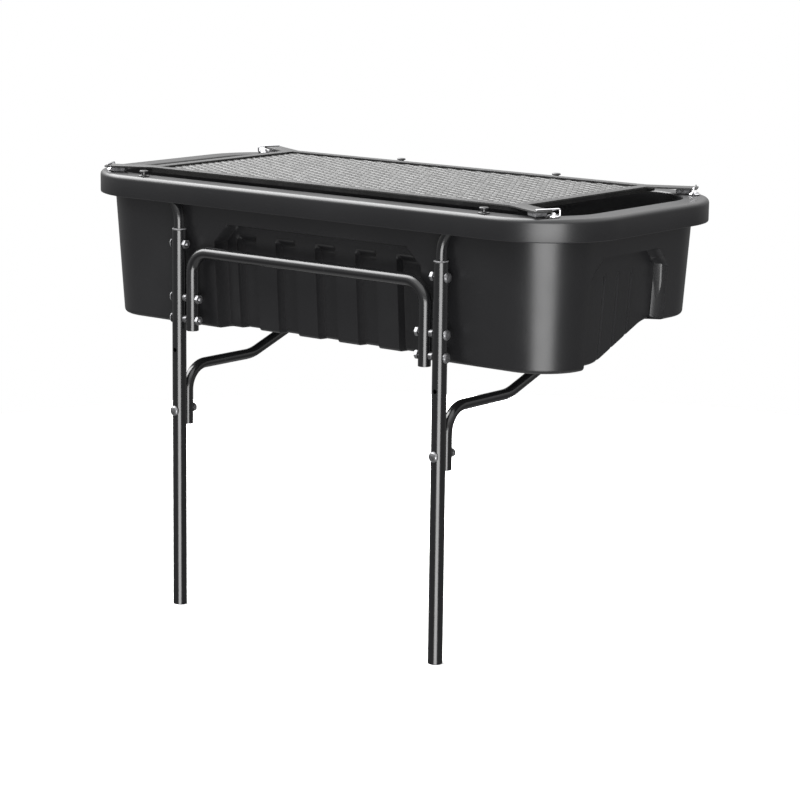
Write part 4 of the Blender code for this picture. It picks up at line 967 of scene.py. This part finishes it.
# ---------------------------------------------------------------- materials
class Nodes:
    """A material's node tree, with short calls for the nodes that these finishes use."""

    def __init__(self, name):
        self.material = bpy.data.materials.new(name)
        self.material.use_nodes = True
        self.tree = self.material.node_tree
        self.shader = self.tree.nodes["Principled BSDF"]
        self.place = self.tree.nodes.new("ShaderNodeTexCoord").outputs["Object"]

    def link(self, source, target):
        self.tree.links.new(source, target)

    def stretched(self, scale):
        node = self.tree.nodes.new("ShaderNodeMapping")
        node.inputs["Scale"].default_value = scale
        self.link(self.place, node.inputs["Vector"])
        return node.outputs["Vector"]

    def noise(self, scale, detail=3.0, roughness=0.5, vector=None):
        node = self.tree.nodes.new("ShaderNodeTexNoise")
        node.inputs["Scale"].default_value = scale
        node.inputs["Detail"].default_value = detail
        node.inputs["Roughness"].default_value = roughness
        self.link(vector or self.place, node.inputs["Vector"])
        return node.outputs["Fac"]

    def cells(self, scale, vector=None):
        node = self.tree.nodes.new("ShaderNodeTexVoronoi")
        node.inputs["Scale"].default_value = scale
        self.link(vector or self.place, node.inputs["Vector"])
        return node.outputs["Distance"]

    def ranged(self, value, low, high, to_low, to_high):
        node = self.tree.nodes.new("ShaderNodeMapRange")
        node.clamp = True
        for key, number in zip(("From Min", "From Max", "To Min", "To Max"), (low, high, to_low, to_high)):
            node.inputs[key].default_value = number
        self.link(value, node.inputs["Value"])
        return node.outputs["Result"]

    def math(self, operation, first, second):
        node = self.tree.nodes.new("ShaderNodeMath")
        node.operation = operation
        for socket, value in zip(node.inputs, (first, second)):
            if isinstance(value, (int, float)):
                socket.default_value = value
            else:
                self.link(value, socket)
        return node.outputs["Value"]

    def mixed(self, share_of, first, second):
        node = self.tree.nodes.new("ShaderNodeMix")
        node.data_type = "RGBA"
        node.inputs[6].default_value = (*first, 1.0)
        node.inputs[7].default_value = (*second, 1.0)
        self.link(share_of, node.inputs["Factor"])
        return node.outputs[2]

    def bump(self, height, strength, distance, under=None):
        node = self.tree.nodes.new("ShaderNodeBump")
        node.inputs["Strength"].default_value = strength
        node.inputs["Distance"].default_value = distance
        self.link(height, node.inputs["Height"])
        if under:
            self.link(under, node.inputs["Normal"])
        return node.outputs["Normal"]

    def finish(self, colour_out=None, roughness_out=None, normal_out=None, metallic=0.0, specular=0.5,
               coat=0.0):
        self.shader.inputs["Metallic"].default_value = metallic
        self.shader.inputs["Specular IOR Level"].default_value = specular
        self.shader.inputs["Coat Weight"].default_value = coat
        self.shader.inputs["Coat Roughness"].default_value = 0.08
        if colour_out:
            self.link(colour_out, self.shader.inputs["Base Color"])
        if roughness_out:
            self.link(roughness_out, self.shader.inputs["Roughness"])
        if normal_out:
            self.link(normal_out, self.shader.inputs["Normal"])
        return self.material


def scaled(tint, factor):
    return tuple(min(1.0, part * factor) for part in tint)


def moulded_plastic():
    """Satin black moulding: fine pebble, slow waviness, faint flow marks, pale scuffs scattered over it."""
    finish = settings().finish
    nodes = Nodes("moulded_plastic")
    cloud = nodes.noise(7.0, 4.0)
    scuffs = nodes.ranged(nodes.noise(55.0, 6.0, 0.7, nodes.stretched((1.0, 6.0, 2.5))), 0.63, 0.76, 0.0, 1.0)
    tint = nodes.mixed(nodes.math("MULTIPLY", scuffs, 0.35), finish.plastic, scaled(finish.plastic, 3.2))
    rough = nodes.ranged(cloud, 0.3, 0.7, finish.plastic_roughness - 0.035, finish.plastic_roughness + 0.045)
    rough = nodes.math("ADD", rough, nodes.math("MULTIPLY", scuffs, 0.05))
    wave = nodes.bump(nodes.noise(9.0, 2.0), 0.10, 0.004)
    pebble = nodes.bump(nodes.cells(620.0), 0.10, 0.00025, wave)
    return nodes.finish(tint, rough, pebble, specular=0.5)


def painted_tube():
    """Gloss black powder coat: orange peel, thin rubbed lines along the tube, specks of dust."""
    known = bpy.data.materials.get("painted_tube")
    if known:
        return known
    finish = settings().finish
    nodes = Nodes("painted_tube")
    streaks = nodes.noise(90.0, 5.0, 0.6, nodes.stretched((1.0, 1.0, 0.06)))
    rubbed = nodes.ranged(streaks, 0.64, 0.74, 0.0, 1.0)
    specks = nodes.ranged(nodes.noise(900.0, 2.0), 0.74, 0.80, 0.0, 1.0)
    wear = nodes.math("MAXIMUM", nodes.math("MULTIPLY", rubbed, 0.45), nodes.math("MULTIPLY", specks, 0.6))
    tint = nodes.mixed(wear, finish.paint, scaled(finish.paint, 5.0))
    least = finish.paint_roughness
    rough = nodes.ranged(nodes.noise(30.0, 3.0), 0.3, 0.7, least, least + 0.07)
    rough = nodes.math("ADD", rough, nodes.math("MULTIPLY", rubbed, 0.12))
    peel = nodes.bump(nodes.noise(380.0, 2.0), 0.10, 0.0004)
    return nodes.finish(tint, rough, peel, specular=0.62)


def gloss_paint():
    """Gloss black of the rim bolts, with fine rings of wear."""
    finish = settings().finish
    nodes = Nodes("gloss_paint")
    wear = nodes.ranged(nodes.noise(600.0, 4.0), 0.60, 0.75, 0.0, 1.0)
    tint = nodes.mixed(wear, scaled(finish.paint, 1.3), scaled(finish.paint, 8.0))
    rough = nodes.ranged(nodes.noise(240.0, 3.0), 0.3, 0.7, 0.16, 0.30)
    peel = nodes.bump(nodes.noise(900.0, 2.0), 0.10, 0.0003)
    return nodes.finish(tint, rough, peel, specular=0.6)


def bare_steel():
    """Black satin steel of the strands: mottling, darker smoke stains, dull paler rubbing."""
    finish = settings().finish
    nodes = Nodes("bare_steel")
    mottle = nodes.ranged(nodes.noise(160.0, 5.0, 0.65), 0.35, 0.68, 0.0, 1.0)
    tint = nodes.mixed(mottle, scaled(finish.grate, 0.55), scaled(finish.grate, 1.25))
    rough = nodes.ranged(nodes.noise(60.0, 4.0), 0.3, 0.7, 0.36, 0.56)
    grain = nodes.bump(nodes.noise(1400.0, 3.0), 0.25, 0.0002)
    return nodes.finish(tint, rough, grain, metallic=0.1)


def strip_steel():
    """Flat steel strip with a thin dark coat: rolled grain along the grate and worn patches."""
    known = bpy.data.materials.get("strip_steel")
    if known:
        return known
    finish = settings().finish
    nodes = Nodes("strip_steel")
    rolled = nodes.noise(220.0, 4.0, 0.6, nodes.stretched((0.08, 1.0, 1.0)))
    patch = nodes.ranged(nodes.noise(26.0, 6.0, 0.7), 0.48, 0.66, 0.0, 1.0)
    worn = nodes.math("MULTIPLY", patch, 0.6)
    tint = nodes.mixed(worn, scaled(finish.strip, 0.85), scaled(finish.strip, 1.9))
    rough = nodes.ranged(rolled, 0.3, 0.7, 0.40, 0.54)
    grain = nodes.bump(rolled, 0.12, 0.0002)
    return nodes.finish(tint, rough, grain, metallic=0.0)


def grey_block():
    """Cast grey block: coarse sand texture and stains."""
    finish = settings().finish
    nodes = Nodes("grey_block")
    stain = nodes.ranged(nodes.noise(180.0, 5.0), 0.35, 0.65, 0.0, 1.0)
    tint = nodes.mixed(stain, scaled(finish.block, 0.6), scaled(finish.block, 1.25))
    rough = nodes.ranged(nodes.noise(400.0, 3.0), 0.3, 0.7, 0.45, 0.65)
    grain = nodes.bump(nodes.noise(1100.0, 3.0), 0.35, 0.0003)
    return nodes.finish(tint, rough, grain, metallic=0.1)


def chrome_plate():
    """Bright plating with hairline scratches and a trace of haze."""
    finish = settings().finish
    nodes = Nodes("chrome_plate")
    haze = nodes.ranged(nodes.noise(140.0, 4.0), 0.4, 0.7, 0.06, 0.17)
    hair = nodes.noise(1500.0, 3.0, 0.6, nodes.stretched((1.0, 0.12, 1.0)))
    tint = nodes.mixed(nodes.ranged(hair, 0.55, 0.75, 0.0, 1.0), finish.chrome, scaled(finish.chrome, 0.82))
    scratch = nodes.bump(hair, 0.05, 0.0001)
    return nodes.finish(tint, haze, scratch, metallic=1.0)


def dark_zinc():
    """Dark zinc plating: mottled grey with duller patches."""
    finish = settings().finish
    nodes = Nodes("dark_zinc")
    patch = nodes.ranged(nodes.noise(300.0, 5.0, 0.65), 0.35, 0.68, 0.0, 1.0)
    tint = nodes.mixed(patch, scaled(finish.zinc, 0.7), scaled(finish.zinc, 1.35))
    rough = nodes.ranged(nodes.noise(220.0, 4.0), 0.3, 0.7, 0.24, 0.42)
    grain = nodes.bump(nodes.noise(1800.0, 2.0), 0.12, 0.0001)
    return nodes.finish(tint, rough, grain, metallic=0.85)


def soft_plastic():
    """Grey plastic of the collars: satin, faintly mottled, with turning marks."""
    finish = settings().finish
    nodes = Nodes("soft_plastic")
    mottle = nodes.ranged(nodes.noise(260.0, 4.0), 0.35, 0.65, 0.0, 1.0)
    tint = nodes.mixed(mottle, scaled(finish.collar, 0.8), scaled(finish.collar, 1.15))
    rough = nodes.ranged(nodes.noise(180.0, 3.0), 0.3, 0.7, 0.38, 0.52)
    marks = nodes.bump(nodes.noise(900.0, 2.0, 0.5, nodes.stretched((0.1, 0.1, 1.0))), 0.12, 0.0001)
    return nodes.finish(tint, rough, marks)


# ---------------------------------------------------------------- stage
CAMERA_AZIMUTH = math.radians(38.218)
CAMERA_ELEVATION = math.radians(11.091)
CAMERA_ROLL = math.radians(0.732)
CAMERA_LENS = 123.62
CAMERA_FROM_LEGS = (3.04878, -3.60117, 1.34662)
OVERHEAD_BOX = (-0.60, -0.10, 0.79)
CAMERA_BOX = (0.643, -0.766, 0.0)


def stage_camera():
    """Camera at the front right, a little above the rim, looking at the tub's middle."""
    side = Vector((math.cos(CAMERA_AZIMUTH), math.sin(CAMERA_AZIMUTH), 0))
    ahead = Vector((-math.sin(CAMERA_AZIMUTH) * math.cos(CAMERA_ELEVATION),
                    math.cos(CAMERA_AZIMUTH) * math.cos(CAMERA_ELEVATION), -math.sin(CAMERA_ELEVATION)))
    up = side.cross(ahead)
    right = side * math.cos(CAMERA_ROLL) + up * math.sin(CAMERA_ROLL)
    up = up * math.cos(CAMERA_ROLL) - side * math.sin(CAMERA_ROLL)
    camera_data = bpy.data.cameras.new("camera")
    camera_data.lens = CAMERA_LENS
    camera_data.sensor_width = 36.0
    camera_data.clip_end = 60.0
    camera = bpy.data.objects.new("camera", camera_data)
    bpy.context.scene.collection.objects.link(camera)
    legs = Vector((0, (LEG_LOW.y + LEG_HIGH.y) / 2, FEET))
    turn = Matrix((right, up, -ahead)).transposed().to_4x4()
    camera.matrix_world = Matrix.Translation(legs + Vector(CAMERA_FROM_LEGS)) @ turn
    bpy.context.scene.camera = camera


def stage_world():
    """Studio surroundings, white where the camera looks straight at them.

    Radiance climbs with height from a dim horizon to a bright ceiling, and again straight below,
    where the floor lies. Two soft boxes stand in it: one overhead at the front left, one low and
    wide beside the camera.
    """
    world = bpy.data.worlds.new("studio")
    bpy.context.scene.world = world
    world.use_nodes = True
    tree = world.node_tree
    tree.nodes.clear()

    def ranged(value, low, high, to_low, to_high):
        node = tree.nodes.new("ShaderNodeMapRange")
        node.interpolation_type = "SMOOTHSTEP"
        for key, number in zip(("From Min", "From Max", "To Min", "To Max"), (low, high, to_low, to_high)):
            node.inputs[key].default_value = number
        tree.links.new(value, node.inputs["Value"])
        return node.outputs["Result"]

    def math_of(operation, first, second):
        node = tree.nodes.new("ShaderNodeMath")
        node.operation = operation
        tree.links.new(first, node.inputs[0])
        tree.links.new(second, node.inputs[1])
        return node.outputs["Value"]

    def toward(vector, direction):
        node = tree.nodes.new("ShaderNodeVectorMath")
        node.operation = "DOT_PRODUCT"
        tree.links.new(vector, node.inputs[0])
        node.inputs[1].default_value = direction
        return node.outputs["Value"]

    direction = tree.nodes.new("ShaderNodeTexCoord").outputs["Generated"]
    height = toward(direction, (0, 0, 1))
    level = tree.nodes.new("ShaderNodeVectorMath")
    level.operation = "MULTIPLY"
    tree.links.new(direction, level.inputs[0])
    level.inputs[1].default_value = (1, 1, 0)
    flat = tree.nodes.new("ShaderNodeVectorMath")
    flat.operation = "NORMALIZE"
    tree.links.new(level.outputs["Vector"], flat.inputs[0])

    sky = math_of("ADD", ranged(height, -0.30, 0.22, 0.16, 0.62), ranged(height, 0.20, 0.65, 0.0, 1.5))
    sky = math_of("ADD", sky, ranged(height, -0.80, -0.48, 0.45, 0.0))
    overhead = ranged(toward(direction, OVERHEAD_BOX), 0.72, 0.95, 0.0, 9.0)
    beside = ranged(toward(flat.outputs["Vector"], CAMERA_BOX), 0.90, 0.96, 0.0, 8.0)
    beside = math_of("MULTIPLY", beside, ranged(height, -0.60, -0.45, 0.0, 1.0))
    beside = math_of("MULTIPLY", beside, ranged(height, -0.02, 0.16, 1.0, 0.0))
    total = math_of("ADD", math_of("ADD", sky, overhead), beside)

    output = tree.nodes.new("ShaderNodeOutputWorld")
    mix = tree.nodes.new("ShaderNodeMixShader")
    plain = tree.nodes.new("ShaderNodeBackground")
    plain.inputs["Color"].default_value = (1, 1, 1, 1)
    graded = tree.nodes.new("ShaderNodeBackground")
    graded.inputs["Color"].default_value = (1, 1, 1, 1)
    path = tree.nodes.new("ShaderNodeLightPath")
    tree.links.new(total, graded.inputs["Strength"])
    tree.links.new(path.outputs["Is Camera Ray"], mix.inputs["Fac"])
    tree.links.new(graded.outputs["Background"], mix.inputs[1])
    tree.links.new(plain.outputs["Background"], mix.inputs[2])
    tree.links.new(mix.outputs["Shader"], output.inputs["Surface"])


def stage_floor():
    """A round pale floor under the feet."""
    angle = np.linspace(0, 2 * math.pi, 96, endpoint=False)
    radius = 1.9
    points = np.stack([radius * np.cos(angle), radius * np.sin(angle), np.full(96, FEET - 0.0004)], -1)
    mesh = bpy.data.meshes.new("floor")
    mesh.from_pydata(points.tolist(), [], [list(range(96))])
    floor = bpy.data.objects.new("floor", mesh)
    bpy.context.scene.collection.objects.link(floor)
    nodes = Nodes("pale_floor")
    finish = settings().finish
    cloud = nodes.ranged(nodes.noise(3.0, 2.0), 0.3, 0.7, 0.0, 1.0)
    tint = nodes.mixed(cloud, finish.floor, scaled(finish.floor, 0.985))
    rough = nodes.ranged(nodes.noise(20.0), 0.3, 0.7, 0.75, 0.85)
    mesh.materials.append(nodes.finish(tint, rough, None, specular=0.2))
    floor.visible_glossy = False
    floor.visible_diffuse = False
    floor.visible_shadow = False


class GRILL_OT_stage(bpy.types.Operator):
    """Camera, pale floor, soft surroundings and studio lights"""
    bl_idname = "grill.stage"
    bl_label = "Stage"

    def execute(self, context):
        stage_camera()
        stage_world()
        stage_floor()
        context.scene.view_settings.view_transform = "Standard"
        return {"FINISHED"}


# ---------------------------------------------------------------- add-on
class GRILL_PT_panel(bpy.types.Panel):
    """Lists the steps that build the grill"""
    bl_idname = "GRILL_PT_panel"
    bl_label = "Tub Grill"
    bl_space_type = "VIEW_3D"
    bl_region_type = "UI"
    bl_category = "Tub Grill"

    def draw(self, context):
        for operator in OPERATORS:
            self.layout.operator(operator.bl_idname)


OPERATORS = (GRILL_OT_stage, GRILL_OT_tub, GRILL_OT_tubes, GRILL_OT_collars, GRILL_OT_sheet, GRILL_OT_frame,
             GRILL_OT_clips, GRILL_OT_bolts)
CLASSES = (TubSettings, GrateSettings, TubeSettings, FinishSettings, GrillSettings, *OPERATORS,
           GRILL_PT_panel)


def register():
    for item in CLASSES:
        bpy.utils.register_class(item)
    bpy.types.Scene.grill = bpy.props.PointerProperty(type=GrillSettings)


def unregister():
    del bpy.types.Scene.grill
    for item in reversed(CLASSES):
        bpy.utils.unregister_class(item)


def main():
    register()
    for operator in OPERATORS:
        group, name = operator.bl_idname.split(".")
        getattr(getattr(bpy.ops, group), name)()


if __name__ == "__main__":
    main()
